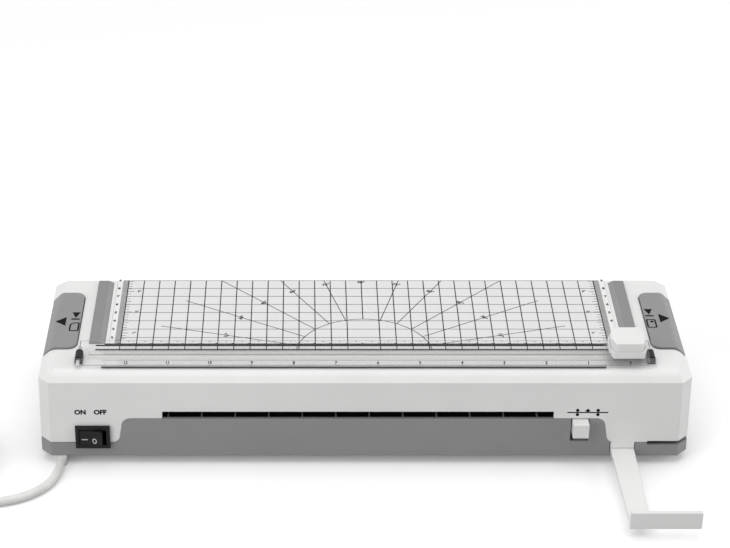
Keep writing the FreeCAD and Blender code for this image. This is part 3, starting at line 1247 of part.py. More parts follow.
def release_shaft():
    """Cross shaft turned by the jam lever, with a lifting tab inside each frame."""
    left = -FRAME_FACE - FRAME_SHEET - GEAR_GAP
    right = FRAME_FACE + FRAME_SHEET + GEAR_GAP / 2 + JAM_ARM
    pieces = [rod_x(RELEASE_RADIUS, left, right, RELEASE_DEPTH, Z_RELEASE)]
    tab_top = Z_UPPER_ROLLER - BLOCK_HEIGHT / 2 - SLIDE_CLEAR
    for side in (-1, 1):
        ends = sorted((side * (FRAME_FACE - SLIDE_CLEAR), side * (FRAME_FACE - SLIDE_CLEAR - TAB_WIDTH)))
        tab = prism_x([(RELEASE_DEPTH, Z_RELEASE), (RELEASE_DEPTH, Z_RELEASE - RELEASE_RADIUS),
                       (RELEASE_DEPTH + TAB_LENGTH, tab_top - TAB_THICK),
                       (RELEASE_DEPTH + TAB_LENGTH, tab_top),
                       (RELEASE_DEPTH + TAB_LENGTH / 2, tab_top)], ends[0], ends[1])
        pieces.append(tab)
    return joined(pieces)


def paper_guide():
    """White sliding arm, a little narrower towards its upright stop plate, drawn out."""
    plate_d0 = -GUIDE_REACH
    plate_d1 = plate_d0 + GUIDE_PLATE_THICK
    plate_x = GUIDE_X + GUIDE_TAPER
    z0 = Z_BASE - GUIDE_PLATE_DROP
    plate = box(plate_x, plate_x + GUIDE_PLATE_LENGTH, plate_d0, plate_d1, z0, z0 + GUIDE_PLATE_HEIGHT)
    plate = plate.makeFillet(GUIDE_ROUND, plate.Edges)
    arm_front = plate_d0 + GUIDE_PLATE_THICK / 2
    arm_right = GUIDE_X + GUIDE_WIDTH
    outline = [(plate_x, arm_front), (arm_right, arm_front), (arm_right, GUIDE_TAIL),
               (GUIDE_X, GUIDE_TAIL), (GUIDE_X, 0.0)]
    return joined([plate, prism_z(outline, Z_GUIDE, Z_GUIDE_TOP)])


def cord_gland():
    """Tapered strain relief under the base that the cord comes out of."""
    half = GLAND_WIDTH / 2
    nose = GLAND_NOSE / 2
    taper_end = GLAND_FRONT + GLAND_TAPER
    back = GLAND_FRONT + GLAND_LENGTH
    outline = [(CORD_X - nose, GLAND_FRONT), (CORD_X + nose, GLAND_FRONT), (CORD_X + half, taper_end),
               (CORD_X + half, back), (CORD_X - half, back), (CORD_X - half, taper_end)]
    return prism_z(outline, CORD_HEIGHT - CORD_RADIUS, Z_BASE)


def tube_path(points):
    """Edges of straight runs joined by tangent arcs as large as the runs allow, and the arc radii."""
    edges = []
    radii = []
    start = points[0]
    for before, corner, after in zip(points, points[1:], points[2:]):
        run_in = corner - before
        run_out = after - corner
        turn = run_in.getAngle(run_out)
        reach = ARC_SHARE * min(run_in.Length, run_out.Length)
        radii.append(reach / math.tan(turn / 2))
        arc_start = corner - FreeCAD.Vector(run_in).normalize() * reach
        arc_end = corner + FreeCAD.Vector(run_out).normalize() * reach
        inward = FreeCAD.Vector(run_out).normalize() - FreeCAD.Vector(run_in).normalize()
        depth = radii[-1] * (1 / math.cos(turn / 2) - 1)
        arc_middle = corner + inward.normalize() * depth
        edges.append(Part.LineSegment(start, arc_start).toShape())
        edges.append(Part.Arc(arc_start, arc_middle, arc_end).toShape())
        start = arc_end
    edges.append(Part.LineSegment(start, points[-1]).toShape())
    return edges, radii


def tube(edges, start, direction):
    """Round cord swept along edges from a start point."""
    section = Part.Wire(Part.makeCircle(CORD_RADIUS, start, direction))
    return Part.Wire(edges).makePipeShell([section], True, False)


def coil_point(turn):
    """Point of the coil after some turns: a spiral in on the floor layer, then out on the layer above."""
    inward = min(turn, 2 * LAYER_TURNS - turn)
    radius = COIL_OUTER - COIL_PITCH * inward
    climb = min(1.0, max(0.0, (turn - LAYER_TURNS + 0.25) / 0.5))
    z = CORD_HEIGHT + COIL_PITCH * climb * climb * (3 - 2 * climb)
    angle = 2 * math.pi * turn
    return FreeCAD.Vector(COIL_X - radius * math.sin(angle), at(COIL_DEPTH) - radius * math.cos(angle), z)


def coil_direction(turn):
    """Unit tangent of the coil."""
    step = 0.0005
    return (coil_point(turn + step) - coil_point(turn - step)).normalize()


def biarc(start, start_way, end, end_way):
    """Two tangent arcs between two points with given directions."""
    chord = end - start
    ways = start_way + end_way
    a = 2 * (1 - start_way.dot(end_way))
    b = 2 * chord.dot(ways)
    c = -chord.dot(chord)
    reach = (-b + math.sqrt(b * b - 4 * a * c)) / (2 * a)
    first = start + start_way * reach
    second = end - end_way * reach
    middle = (first + second) * 0.5
    way = (second - first).normalize()
    arcs = []
    for begin, begin_way, stop in ((start, start_way, middle), (middle, way, end)):
        span = stop - begin
        side = begin_way.cross(span).cross(begin_way).normalize()
        radius = span.dot(span) / (2 * span.dot(side))
        centre = begin + side * radius
        bulge = ((begin + stop) * 0.5 - centre).normalize()
        arcs.append(Part.Arc(begin, centre + bulge * radius, stop).toShape())
    return arcs


def coil_route():
    """Edges of the coil with a straight end before its turns and a straight tail after them."""
    first = coil_point(0.0)
    last = coil_point(COIL_END)
    lead = coil_direction(0.0) * (2 * CORD_RADIUS)
    tail = coil_direction(COIL_END) * COIL_TAIL
    edges = [Part.LineSegment(first - lead, first).toShape()]
    quarters = int(round(COIL_END * 4))
    for number in range(quarters):
        a = number / 4
        b = (number + 1) / 4
        edges += biarc(coil_point(a), coil_direction(a), coil_point(b), coil_direction(b))
    edges.append(Part.LineSegment(last, last + tail).toShape())
    return edges


def coil_gap():
    """Least gap between neighbouring turns, measured on points a good part of a turn apart."""
    count = 48
    total = int(COIL_END * count)
    points = [coil_point(number / count) for number in range(total + 1)]
    least = min(
        (points[i] - points[j]).Length
        for i in range(total + 1) for j in range(i + count // 2, total + 1)
    )
    return least - 2 * CORD_RADIUS


def cord_points():
    """Route of the cord from the gland along the floor to the start of the coil."""
    first = coil_point(0.0) - coil_direction(0.0) * (2 * CORD_RADIUS)
    points = [FreeCAD.Vector(CORD_X, at(GLAND_FRONT), CORD_HEIGHT)]
    for length, heading in CORD_RUNS:
        turn = math.radians(heading)
        points.append(points[-1] + FreeCAD.Vector(-length * math.sin(turn), -length * math.cos(turn), 0))
    return points + [first - coil_direction(0.0) * LAST_RUN, first]


def cord_lead():
    """Free cord between the gland and the coil."""
    points = cord_points()
    edges, radii = tube_path(points)
    print("cord arc radii:", [round(radius, 1) for radius in radii])
    lead = tube(edges, points[0], points[1] - points[0])
    length = sum(edge.Length for edge in edges)
    print("cord lead length:", round(length, 1), "volume share:",
          round(lead.Volume / (math.pi * CORD_RADIUS ** 2 * length), 4))
    return lead


def cord_coil():
    """Put-away length of the cord, wound in two layers."""
    edges = coil_route()
    length = sum(edge.Length for edge in edges)
    start = coil_point(0.0) - coil_direction(0.0) * (2 * CORD_RADIUS)
    print("coil length:", round(length, 1), "least gap:", round(coil_gap(), 2))
    return tube(edges, start, coil_direction(0.0))


def coil_end():
    """Point and direction where the cord leaves the coil for the plug."""
    way = coil_direction(COIL_END)
    return coil_point(COIL_END) + way * COIL_TAIL, way


def plug_frame(shape):
    """Moves a shape made along +X at the origin to the end of the cord."""
    place, way = coil_end()
    shape.rotate(FreeCAD.Vector(0, 0, 0), FreeCAD.Vector(0, 0, 1), math.degrees(math.atan2(way.y, way.x)))
    shape.translate(place)
    return shape


def plug_body():
    """Moulded plug with tapered shoulders."""
    neck = CORD_RADIUS + PLUG_NECK_WALL
    outline = [(0, -neck), (PLUG_SHOULDER, -PLUG_WIDTH / 2), (PLUG_LENGTH, -PLUG_WIDTH / 2),
               (PLUG_LENGTH, PLUG_WIDTH / 2), (PLUG_SHOULDER, PLUG_WIDTH / 2), (0, neck)]
    points = [FreeCAD.Vector(x, y, -PLUG_TALL / 2) for x, y in outline]
    body = Part.Face(Part.makePolygon(points + points[:1])).extrude(FreeCAD.Vector(0, 0, PLUG_TALL))
    return plug_frame(body)


def plug_pins():
    """Two round plug pins."""
    pins = []
    for side in (-1, 1):
        start = FreeCAD.Vector(PLUG_LENGTH, side * PIN_SPACING / 2, 0)
        pins.append(plug_frame(Part.makeCylinder(PIN_RADIUS, PIN_LENGTH, start, FreeCAD.Vector(1, 0, 0))))
    return Part.makeCompound(pins)


def cord_tie():
    """Strap round all the turns of the coil on one side."""
    inner = COIL_OUTER - COIL_PITCH * (LAYER_TURNS - 0.25) - CORD_RADIUS - TIE_CLEAR
    outer = COIL_OUTER + CORD_RADIUS + TIE_CLEAR
    low = CORD_HEIGHT - CORD_RADIUS - TIE_CLEAR / 4
    high = CORD_HEIGHT + COIL_PITCH + CORD_RADIUS + TIE_CLEAR
    y = at(COIL_DEPTH) - TIE_WIDTH / 2
    corner = FreeCAD.Vector(COIL_X - outer, y - OVERCUT, low)
    hole = Part.makeBox(outer - inner, TIE_WIDTH + 2 * OVERCUT, high - low, corner)
    strap = Part.makeBox(outer - inner + 2 * TIE_WALL, TIE_WIDTH, high + TIE_WALL - low,
                         FreeCAD.Vector(COIL_X - outer - TIE_WALL, y, low))
    return strap.cut(hole)


def export(name, shape):
    """Writes one piece."""
    shape.exportStep("parts/" + name + ".step")


def build():
    """Makes every piece and writes it."""
    os.makedirs("parts", exist_ok=True)
    export("base_housing", base_housing())
    export("top_cover", top_cover())
    export("measuring_mat", measuring_mat())
    export("cutting_strip", cutting_strip())
    export("right_fence", right_fence())
    export("left_fence", mirrored(right_fence()))
    export("feet", feet())
    export("base_screws", base_screws())

    export("right_frame", joined([right_frame(), motor_ears()]))
    export("left_frame", mirrored(right_frame()))
    export("lower_heater", heater(Z_PATH - HEATER_GAP / 2 - HEATER_PLATE))
    export("upper_heater", heater(Z_PATH + HEATER_GAP / 2))
    export("entry_guide", entry_guide())
    export("exit_guide", exit_guide())
    export("lower_bushes", lower_bushes())
    export("upper_bearings", upper_bearings())
    export("pressure_springs", pressure_springs())
    export("lower_shaft", roller_shaft(Z_LOWER_ROLLER))
    export("upper_shaft", roller_shaft(Z_UPPER_ROLLER))
    export("lower_sleeve", roller_sleeve(Z_LOWER_ROLLER))
    export("upper_sleeve", roller_sleeve(Z_UPPER_ROLLER))
    export("lower_gear", gear(GEAR_TEETH, SHAFT_RADIUS, GEAR_FACE, ROLLER_DEPTH, Z_LOWER_ROLLER,
                              math.pi / 2))
    half_pitch = math.pi / GEAR_TEETH
    export("upper_gear", gear(GEAR_TEETH, SHAFT_RADIUS, GEAR_FACE, ROLLER_DEPTH, Z_UPPER_ROLLER,
                              math.pi / 2 + half_pitch))
    export("motor", motor())
    export("motor_pinion", motor_pinion())
    export("circuit_board", circuit_board())

    export("clear_rail", clear_rail())
    export("rail_grip", rail_grip())
    export("slot_guides", slot_guides())
    export("rail_pin", rail_pin())
    export("hinge_lugs", hinge_lugs())
    export("slider_shoe", slider_shoe())
    export("slider_housing", slider_housing())
    export("cutter_button", cutter_button())
    export("blade_axle", blade_axle())
    export("round_blade", round_blade())

    tip = Z_PAPER_TOP + PLUNGER_LIFT
    corner_die = corner_blade_block(Z_BASE, tip, DIE_CLEAR)
    export("punch_lever", press_lever())
    export("punch_pin", lever_pin())
    export("punch_frame", press_frame(punch_die_hole()))
    export("punch_plunger", plunger_top())
    export("punch_spring", return_spring(1))
    export("corner_lever", mirrored(press_lever()))
    export("corner_pin", mirrored(lever_pin()))
    export("corner_frame", mirrored(press_frame(corner_die)))
    export("corner_plunger", mirrored(corner_plunger()))
    export("corner_spring", return_spring(-1))

    export("switch_bezel", switch_bezel())
    export("rocker", rocker())
    export("jam_lever", jam_lever())
    export("release_shaft", release_shaft())
    export("paper_guide", paper_guide())

    export("cord_gland", cord_gland())
    export("cord_lead", cord_lead())
    export("cord_coil", cord_coil())
    export("cord_tie", cord_tie())
    export("plug_body", plug_body())
    export("plug_pins", plug_pins())


build()
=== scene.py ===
"""Looks of a desk laminator that carries a sliding paper trimmer on its lid.

The file is laid out as an add-on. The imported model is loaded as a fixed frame, and each operator adds one
piece, or one group of like pieces, in metres and in that frame.
"""

import json
import math

import bpy
import numpy as np
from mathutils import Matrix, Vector


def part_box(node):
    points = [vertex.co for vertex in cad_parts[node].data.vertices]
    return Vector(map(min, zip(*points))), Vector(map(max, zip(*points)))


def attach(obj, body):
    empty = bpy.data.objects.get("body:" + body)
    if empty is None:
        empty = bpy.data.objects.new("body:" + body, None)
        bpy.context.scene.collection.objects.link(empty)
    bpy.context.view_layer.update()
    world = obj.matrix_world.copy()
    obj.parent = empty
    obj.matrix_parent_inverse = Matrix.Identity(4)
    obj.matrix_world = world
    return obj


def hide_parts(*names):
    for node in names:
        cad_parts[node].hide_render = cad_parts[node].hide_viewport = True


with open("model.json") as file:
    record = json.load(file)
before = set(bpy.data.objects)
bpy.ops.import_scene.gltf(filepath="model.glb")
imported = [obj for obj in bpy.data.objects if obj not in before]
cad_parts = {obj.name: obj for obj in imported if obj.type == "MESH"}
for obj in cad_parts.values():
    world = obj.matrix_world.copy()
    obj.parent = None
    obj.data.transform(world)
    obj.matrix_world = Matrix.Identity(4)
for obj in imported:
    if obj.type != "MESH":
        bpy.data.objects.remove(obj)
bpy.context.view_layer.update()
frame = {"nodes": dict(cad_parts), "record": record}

bl_info = {
    "name": "Desk laminator with paper trimmer",
    "version": (1, 0, 0),
    "blender": (4, 5, 0),
    "location": "View3D > Sidebar > Laminator",
    "description": "Finishes, printed marks, cord and studio for a desk laminator with a paper trimmer",
    "category": "Object",
}

MM = 0.001

# The photograph's frame and the camera fitted to the printed grid
PHOTO_WIDTH = 730
CAMERA_PLACE = (-38.27 * MM, -1077.3 * MM, 741.5 * MM)
CAMERA_TILT = math.radians(60.016)
CAMERA_LENS = 102.98
PHOTO_CENTRE_X = 301.85

# Places on the lid, measured from the middle of the machine
GRID_ZERO_Y = 20.9 * MM
GRID_BACK_Y = 90.9 * MM
CUT_LINE_Y = 0.9 * MM
GRID_HALF = 150 * MM
INCH = 25.4 * MM
CENTIMETRE = 10 * MM
# The fence's own grey and the painted highlight on its sloping part meet at this distance from the middle
FENCE_HIGHLIGHT_X = 162.4 * MM

# Front panel, which leans back a little from its foot
FRONT_FOOT_Y = -24.9 * MM
FRONT_FOOT_Z = 6.0 * MM
FRONT_LEAN = math.radians(3)
SIGN_LEVEL = 36.5 * MM

# Marks lie this far above the surface that carries them
INK_LIFT = 0.04 * MM
# Rays that look for a carrier start this far off the piece
RAY_START = 10 * MM


def linear(code):
    """Turns an sRGB hex colour into linear red, green and blue with full cover."""
    value = np.array([int(code[start:start + 2], 16) for start in (1, 3, 5)]) / 255
    shade = np.where(value <= 0.04045, value / 12.92, ((value + 0.055) / 1.055) ** 2.4)
    return (*shade.tolist(), 1.0)


class MatPrintSettings(bpy.types.PropertyGroup):
    """Sizes and inks of the marks printed on the measuring mat."""
    pitch: bpy.props.FloatProperty(
        name="Grid pitch", description="Distance between neighbouring grid lines",
        default=10 * MM, min=2 * MM, unit="LENGTH")
    cross_width: bpy.props.FloatProperty(
        name="Cross line", description="Width of the lines that run from front to back",
        default=0.62 * MM, min=0.1 * MM, unit="LENGTH")
    long_width: bpy.props.FloatProperty(
        name="Long line", description="Width of the lines that run from end to end",
        default=0.52 * MM, min=0.1 * MM, unit="LENGTH")
    arc_radius: bpy.props.FloatProperty(
        name="Angle arc", description="Radius of the arc that the angle lines start from",
        default=42 * MM, min=10 * MM, unit="LENGTH")
    digit_height: bpy.props.FloatProperty(
        name="Digits", description="Height of the printed digits",
        default=2.6 * MM, min=1 * MM, unit="LENGTH")
    dark_ink: bpy.props.FloatVectorProperty(
        name="Dark ink", description="Ink of the cross lines, angle lines, divisions and digits",
        subtype="COLOR", size=4, min=0, max=1, default=linear("#303030"))
    pale_ink: bpy.props.FloatVectorProperty(
        name="Pale ink", description="Ink of the long lines",
        subtype="COLOR", size=4, min=0, max=1, default=linear("#6C6C6C"))


class SignSettings(bpy.types.PropertyGroup):
    """Sizes and inks of the signs on the levers, the front panel and the switch."""
    letter_height: bpy.props.FloatProperty(
        name="Letters", description="Height of the letters over the switch",
        default=3.2 * MM, min=1 * MM, unit="LENGTH")
    black_ink: bpy.props.FloatVectorProperty(
        name="Black ink", description="Ink of the signs on the pale and grey plastics",
        subtype="COLOR", size=4, min=0, max=1, default=linear("#0C0C0C"))
    white_ink: bpy.props.FloatVectorProperty(
        name="White ink", description="Ink of the two marks on the switch",
        subtype="COLOR", size=4, min=0, max=1, default=linear("#D8D8D8"))


class CordSettings(bpy.types.PropertyGroup):
    """Size and colour of the mains lead."""
    diameter: bpy.props.FloatProperty(
        name="Diameter", description="Outside diameter of the lead",
        default=5.5 * MM, min=2 * MM, unit="LENGTH")
    coil_turns: bpy.props.IntProperty(
        name="Coil turns", description="Turns in the tied coil beside the machine", default=5, min=1)
    colour: bpy.props.FloatVectorProperty(
        name="Colour", description="Colour of the vinyl",
        subtype="COLOR", size=4, min=0, max=1, default=linear("#E4E4E2"))


class BodySettings(bpy.types.PropertyGroup):
    """Colours of the main plastics."""
    cover_white: bpy.props.FloatVectorProperty(
        name="Cover", description="White of the cover, slider, release and paper guide",
        subtype="COLOR", size=4, min=0, max=1, default=linear("#EDEDEC"))
    base_grey: bpy.props.FloatVectorProperty(
        name="Base", description="Grey of the base",
        subtype="COLOR", size=4, min=0, max=1, default=linear("#8E8E8E"))
    lever_grey: bpy.props.FloatVectorProperty(
        name="Levers", description="Grey of the two press levers",
        subtype="COLOR", size=4, min=0, max=1, default=linear("#8C8C8C"))
    fence_grey: bpy.props.FloatVectorProperty(
        name="Fences", description="Grey of the two side fences",
        subtype="COLOR", size=4, min=0, max=1, default=linear("#838383"))


class StudioSettings(bpy.types.PropertyGroup):
    """Light and floor of the studio."""
    lamp_power: bpy.props.FloatProperty(
        name="Top lamp", description="Power of the soft lamp overhead", default=23.0, min=0, unit="POWER")
    left_power: bpy.props.FloatProperty(
        name="Left lamp", description="Power of the soft lamp at the front left", default=16.0, min=0,
        unit="POWER")
    right_power: bpy.props.FloatProperty(
        name="Right lamp", description="Power of the soft lamp at the right", default=14.0, min=0,
        unit="POWER")
    sky_strength: bpy.props.FloatProperty(
        name="Sky", description="Strength of the even light from all sides", default=0.25, min=0)
    floor_white: bpy.props.FloatVectorProperty(
        name="Floor", description="Colour of the floor as it is seen",
        subtype="COLOR", size=4, min=0, max=1, default=linear("#FFFFFF"))
    floor_bounce: bpy.props.FloatVectorProperty(
        name="Bounce", description="Colour of the floor for the light that it throws back on the object",
        subtype="COLOR", size=4, min=0, max=1, default=linear("#BEBEBE"))
    floor_glow: bpy.props.FloatProperty(
        name="Glow", description="Light that the floor sends to the rays that see it, and not to the object",
        default=0.14, min=0)


def add_node(tree, kind, settings=None, inputs=None):
    """Adds one node; an input that is given a socket is linked to it, any other input is set."""
    node = tree.nodes.new(kind)
    for name, value in (settings or {}).items():
        setattr(node, name, value)
    for name, value in (inputs or {}).items():
        if isinstance(value, bpy.types.NodeSocket):
            tree.links.new(value, node.inputs[name])
        else:
            node.inputs[name].default_value = value
    return node


def start_material(name):
    """Empty node material and the socket that gives a point's place in metres."""
    material = bpy.data.materials.new(name)
    material.use_nodes = True
    tree = material.node_tree
    tree.nodes.clear()
    place = add_node(tree, "ShaderNodeTexCoord").outputs["Object"]
    return material, tree, place


def finish_material(tree, inputs):
    """Closes a material with one surface shader."""
    shader = add_node(tree, "ShaderNodeBsdfPrincipled", inputs=inputs)
    add_node(tree, "ShaderNodeOutputMaterial", inputs={"Surface": shader.outputs["BSDF"]})


# Most of the noise lies between these two values
NOISE_LOW = 0.3
NOISE_HIGH = 0.7


def patches(tree, place, size, low, high, detail=2.0):
    """Factor that drifts between low and high over patches of the given size in metres."""
    inputs = {"Vector": place, "Scale": 1 / size, "Detail": detail}
    noise = add_node(tree, "ShaderNodeTexNoise", inputs=inputs).outputs["Fac"]
    stretch = {"Value": noise, "From Min": NOISE_LOW, "From Max": NOISE_HIGH, "To Min": low, "To Max": high}
    return add_node(tree, "ShaderNodeMapRange", inputs=stretch).outputs["Result"]


def mottled(tree, place, colour, size, low, high, detail=2.0):
    """Colour that is made darker and lighter over patches of the given size in metres."""
    level = patches(tree, place, size, low, high, detail)
    inputs = {"Value": level, "Color": colour}
    return add_node(tree, "ShaderNodeHueSaturation", inputs=inputs).outputs["Color"]


def skin(tree, relief, depth, edge):
    """Normal of a surface with a relief of the given depth, whose edges are eased over a radius in metres."""
    eased = add_node(tree, "ShaderNodeBevel", {"samples": 4}, {"Radius": edge}).outputs["Normal"]
    inputs = {"Height": relief, "Distance": depth, "Strength": 1.0, "Normal": eased}
    return add_node(tree, "ShaderNodeBump", inputs=inputs).outputs["Normal"]


def banded(tree, place, half, outside, inside):
    """Colour that is one shade within a distance of the machine's middle and another beyond it."""
    across = add_node(tree, "ShaderNodeSeparateXYZ", inputs={"Vector": place}).outputs["X"]
    size = add_node(tree, "ShaderNodeMath", {"operation": "ABSOLUTE"}, {0: across}).outputs["Value"]
    mask = add_node(tree, "ShaderNodeMath", {"operation": "LESS_THAN"}, {0: size, 1: half}).outputs["Value"]
    inputs = {"Fac": mask, "Color1": outside, "Color2": inside}
    return add_node(tree, "ShaderNodeMixRGB", inputs=inputs).outputs["Color"]


def moulded_plastic(name, colour, roughness, depth=0.012 * MM, edge=0.5 * MM, ior=1.53, sheen=0.5):
    """Moulded plastic: an even colour with faint flow clouds, a fine eroded grain and softened edges."""
    material, tree, place = start_material(name)
    finish_material(tree, {
        "Base Color": mottled(tree, place, colour, 45 * MM, 0.975, 1.02),
        "Roughness": patches(tree, place, 6 * MM, roughness - 0.04, roughness + 0.04),
        "IOR": ior,
        "Specular IOR Level": sheen,
        "Normal": skin(tree, patches(tree, place, 0.7 * MM, 0, 1), depth, edge),
    })
    return material


def worn_metal(name, colour, roughness, streak=(30 * MM, 0.4 * MM, 0.4 * MM), depth=0.004 * MM):
    """Bare metal: drawn or ground streaks along the length, with patches that are a little duller."""
    material, tree, place = start_material(name)
    scale = tuple(1 / size for size in streak)
    drawn = add_node(tree, "ShaderNodeMapping", inputs={"Vector": place, "Scale": scale}).outputs["Vector"]
    finish_material(tree, {
        "Base Color": mottled(tree, place, colour, 9 * MM, 0.93, 1.04),
        "Metallic": 1.0,
        "Roughness": patches(tree, drawn, 1.0, roughness - 0.07, roughness + 0.08, 3.0),
        "Normal": skin(tree, patches(tree, drawn, 1.0, 0, 1, 3.0), depth, 0.2 * MM),
    })
    return material


def soft_rubber(name, colour, roughness, edge=0.5 * MM):
    """Rubber or soft vinyl: dull, with a dusty bloom in patches and a fine pitted skin."""
    material, tree, place = start_material(name)
    finish_material(tree, {
        "Base Color": mottled(tree, place, colour, 12 * MM, 0.92, 1.08, 4.0),
        "Roughness": patches(tree, place, 4 * MM, roughness - 0.06, roughness + 0.06),
        "IOR": 1.5,
        "Normal": skin(tree, patches(tree, place, 0.5 * MM, 0, 1), 0.02 * MM, edge),
    })
    return material


def clear_acrylic(name):
    """Clear acrylic: most light goes straight through; faces are polished, with fine handling scuffs."""
    material, tree, place = start_material(name)
    finish_material(tree, {
        "Base Color": mottled(tree, place, linear("#DADCDC"), 60 * MM, 0.98, 1.02),
        "Roughness": patches(tree, place, 14 * MM, 0.05, 0.12, 5.0),
        "IOR": 1.49,
        "Alpha": 0.08,
    })
    return material


def mat_film(name):
    """Printed polypropylene film: white margins, a greyer tint inside the grid, a fine matt tooth."""
    material, tree, place = start_material(name)
    tint = banded(tree, place, GRID_HALF, linear("#F0F0EF"), linear("#E7E7E7"))
    finish_material(tree, {
        "Base Color": mottled(tree, place, tint, 30 * MM, 0.985, 1.01),
        "Roughness": patches(tree, place, 5 * MM, 0.36, 0.46),
        "IOR": 1.49,
        "Normal": skin(tree, patches(tree, place, 0.6 * MM, 0, 1), 0.008 * MM, 0.2 * MM),
    })
    return material


def fence_plastic(name, colour):
    """Smooth moulded grey plastic whose sloping third next to the mat is painted lighter, a painted highlight
    for the light that the slope catches.
    """
    material, tree, place = start_material(name)
    # The lighter grey inside the split is a painted highlight where the slope faces the light
    grey_and_painted_highlight = banded(tree, place, FENCE_HIGHLIGHT_X, colour, linear("#8E8E8E"))
    finish_material(tree, {
        "Base Color": mottled(tree, place, grey_and_painted_highlight, 20 * MM, 0.97, 1.03),
        "Roughness": patches(tree, place, 5 * MM, 0.38, 0.46),
        "IOR": 1.53,
        "Normal": skin(tree, patches(tree, place, 0.7 * MM, 0, 1), 0.012 * MM, 0.4 * MM),
    })
    return material


def board_laminate(name):
    """Circuit board: green solder mask over paler tracks, glossy with a faint weave."""
    material, tree, place = start_material(name)
    tracks = add_node(tree, "ShaderNodeTexBrick", {"offset": 0.5}, {
        "Vector": place, "Scale": 1.0, "Color1": linear("#1D5A34"), "Color2": linear("#246B3E"),
        "Mortar": linear("#3E8A57"), "Mortar Size": 0.5 * MM, "Brick Width": 9 * MM, "Row Height": 3 * MM})
    finish_material(tree, {
        "Base Color": tracks.outputs["Color"],
        "Roughness": patches(tree, place, 3 * MM, 0.25, 0.4),
        "IOR": 1.52,
        "Normal": skin(tree, patches(tree, place, 0.8 * MM, 0, 1), 0.01 * MM, 0.2 * MM),
    })
    return material


def screen_ink(name, colour):
    """Screen-printed ink: a dead matt film with almost no sheen, whose cover varies a little."""
    material, tree, place = start_material(name)
    finish_material(tree, {
        "Base Color": mottled(tree, place, colour, 1.5 * MM, 0.88, 1.12, 3.0),
        "Roughness": patches(tree, place, 2 * MM, 0.75, 0.85),
        "IOR": 1.5,
        "Specular IOR Level": 0.12,
    })
    return material


def make_finishes(body, cord):
    """One material for each material slot of the record."""
    return {
        # ABS with a satin moulded face, broad soft highlights
        "white_plastic": moulded_plastic("abs_moulded_white", body.cover_white, 0.38, edge=0.6 * MM),
        "grey_plastic": moulded_plastic("abs_moulded_grey", body.base_grey, 0.5, depth=0.02 * MM),
        "lever_plastic": moulded_plastic("abs_moulded_lever_grey", body.lever_grey, 0.46),
        "fence_plastic": fence_plastic("abs_fence_grey_painted_highlight", body.fence_grey),
        # Nylon with a fine spark-eroded face that keeps its sheen low
        "black_plastic": moulded_plastic(
            "nylon_moulded_black", linear("#121213"), 0.5, edge=0.3 * MM, sheen=0.2),
        # Acetal is waxy and a little off white
        "gear_plastic": moulded_plastic("acetal_natural", linear("#E6E3D6"), 0.4, edge=0.1 * MM),
        # Soft polypropylene that the blade runs on
        "strip_plastic": moulded_plastic(
            "polypropylene_strip", linear("#E9E9E6"), 0.5, edge=0.1 * MM, ior=1.49),
        "printed_mat": mat_film("polypropylene_mat"),
        "clear_acrylic": clear_acrylic("acrylic_clear"),
        "board_laminate": board_laminate("circuit_board_green"),
        "cord_vinyl": soft_rubber("vinyl_white", cord.colour, 0.45),
        "grip_rubber": soft_rubber("rubber_dark", linear("#2B2B2B"), 0.62),
        "foot_rubber": soft_rubber("rubber_foot", linear("#232323"), 0.7),
        "silicone_rubber": soft_rubber("silicone_brick_red", linear("#B4513A"), 0.55),
        "zinc_steel": worn_metal("steel_zinc_plated", linear("#B9BCC0"), 0.38),
        "bright_steel": worn_metal("steel_ground", linear("#C6C7C9"), 0.22),
        "spring_steel": worn_metal("steel_spring_wire", linear("#9D9EA1"), 0.3),
        "press_steel": worn_metal("zinc_die_cast", linear("#86878A"), 0.48),
        "motor_steel": worn_metal("steel_motor_can", linear("#A9AAA8"), 0.36),
        "heater_aluminium": worn_metal("aluminium_plain", linear("#CFD0D2"), 0.33),
        "dark_aluminium": worn_metal("aluminium_anodised_dark", linear("#3A3A3C"), 0.4),
        "bush_bronze": worn_metal("bronze_sintered", linear("#A98149"), 0.42),
        "pin_brass": worn_metal("brass_nickel_plated", linear("#C9C2A8"), 0.25),
    }


def bars(starts, ends, width):
    """Flat bars: each holds the points within half a width of a straight line, as four corners."""
    starts = np.atleast_2d(starts)
    run = np.atleast_2d(ends) - starts
    length = np.linalg.norm(run, axis=1)[:, None]
    side = np.column_stack((-run[:, 1], run[:, 0])) / length * width / 2
    corners = np.stack((starts - side, starts + run - side, starts + run + side, starts + side), axis=1)
    return corners.reshape(-1, 2), np.arange(4 * len(starts)).reshape(-1, 4)


def arc_band(centre, radii, first, last, width, steps=64):
    """Flat band along an ellipse: centre plus radii times cosine and sine, half the width to each side."""
    angle = np.linspace(first, last, steps + 1)
    circle = np.column_stack((np.cos(angle), np.sin(angle)))
    inner = np.asarray(centre) + (np.asarray(radii) - width / 2) * circle
    outer = np.asarray(centre) + (np.asarray(radii) + width / 2) * circle
    step = np.arange(steps)
    faces = np.column_stack((step, step + steps + 1, step + steps + 2, step + 1))
    return np.concatenate((inner, outer)), faces


def discs(centres, radius, steps=12):
    """Flat discs: each is a fan of corners at equal angles round its centre."""
    angle = np.arange(steps) * 2 * math.pi / steps
    ring = radius * np.column_stack((np.cos(angle), np.sin(angle)))
    points = np.asarray(centres)[:, None, :] + ring[None, :, :]
    return points.reshape(-1, 2), np.arange(points.shape[0] * steps).reshape(-1, steps)


def polygon(points):
    """One flat face through the given corners, which run counter-clockwise."""
    return np.asarray(points, float), np.arange(len(points)).reshape(1, -1)


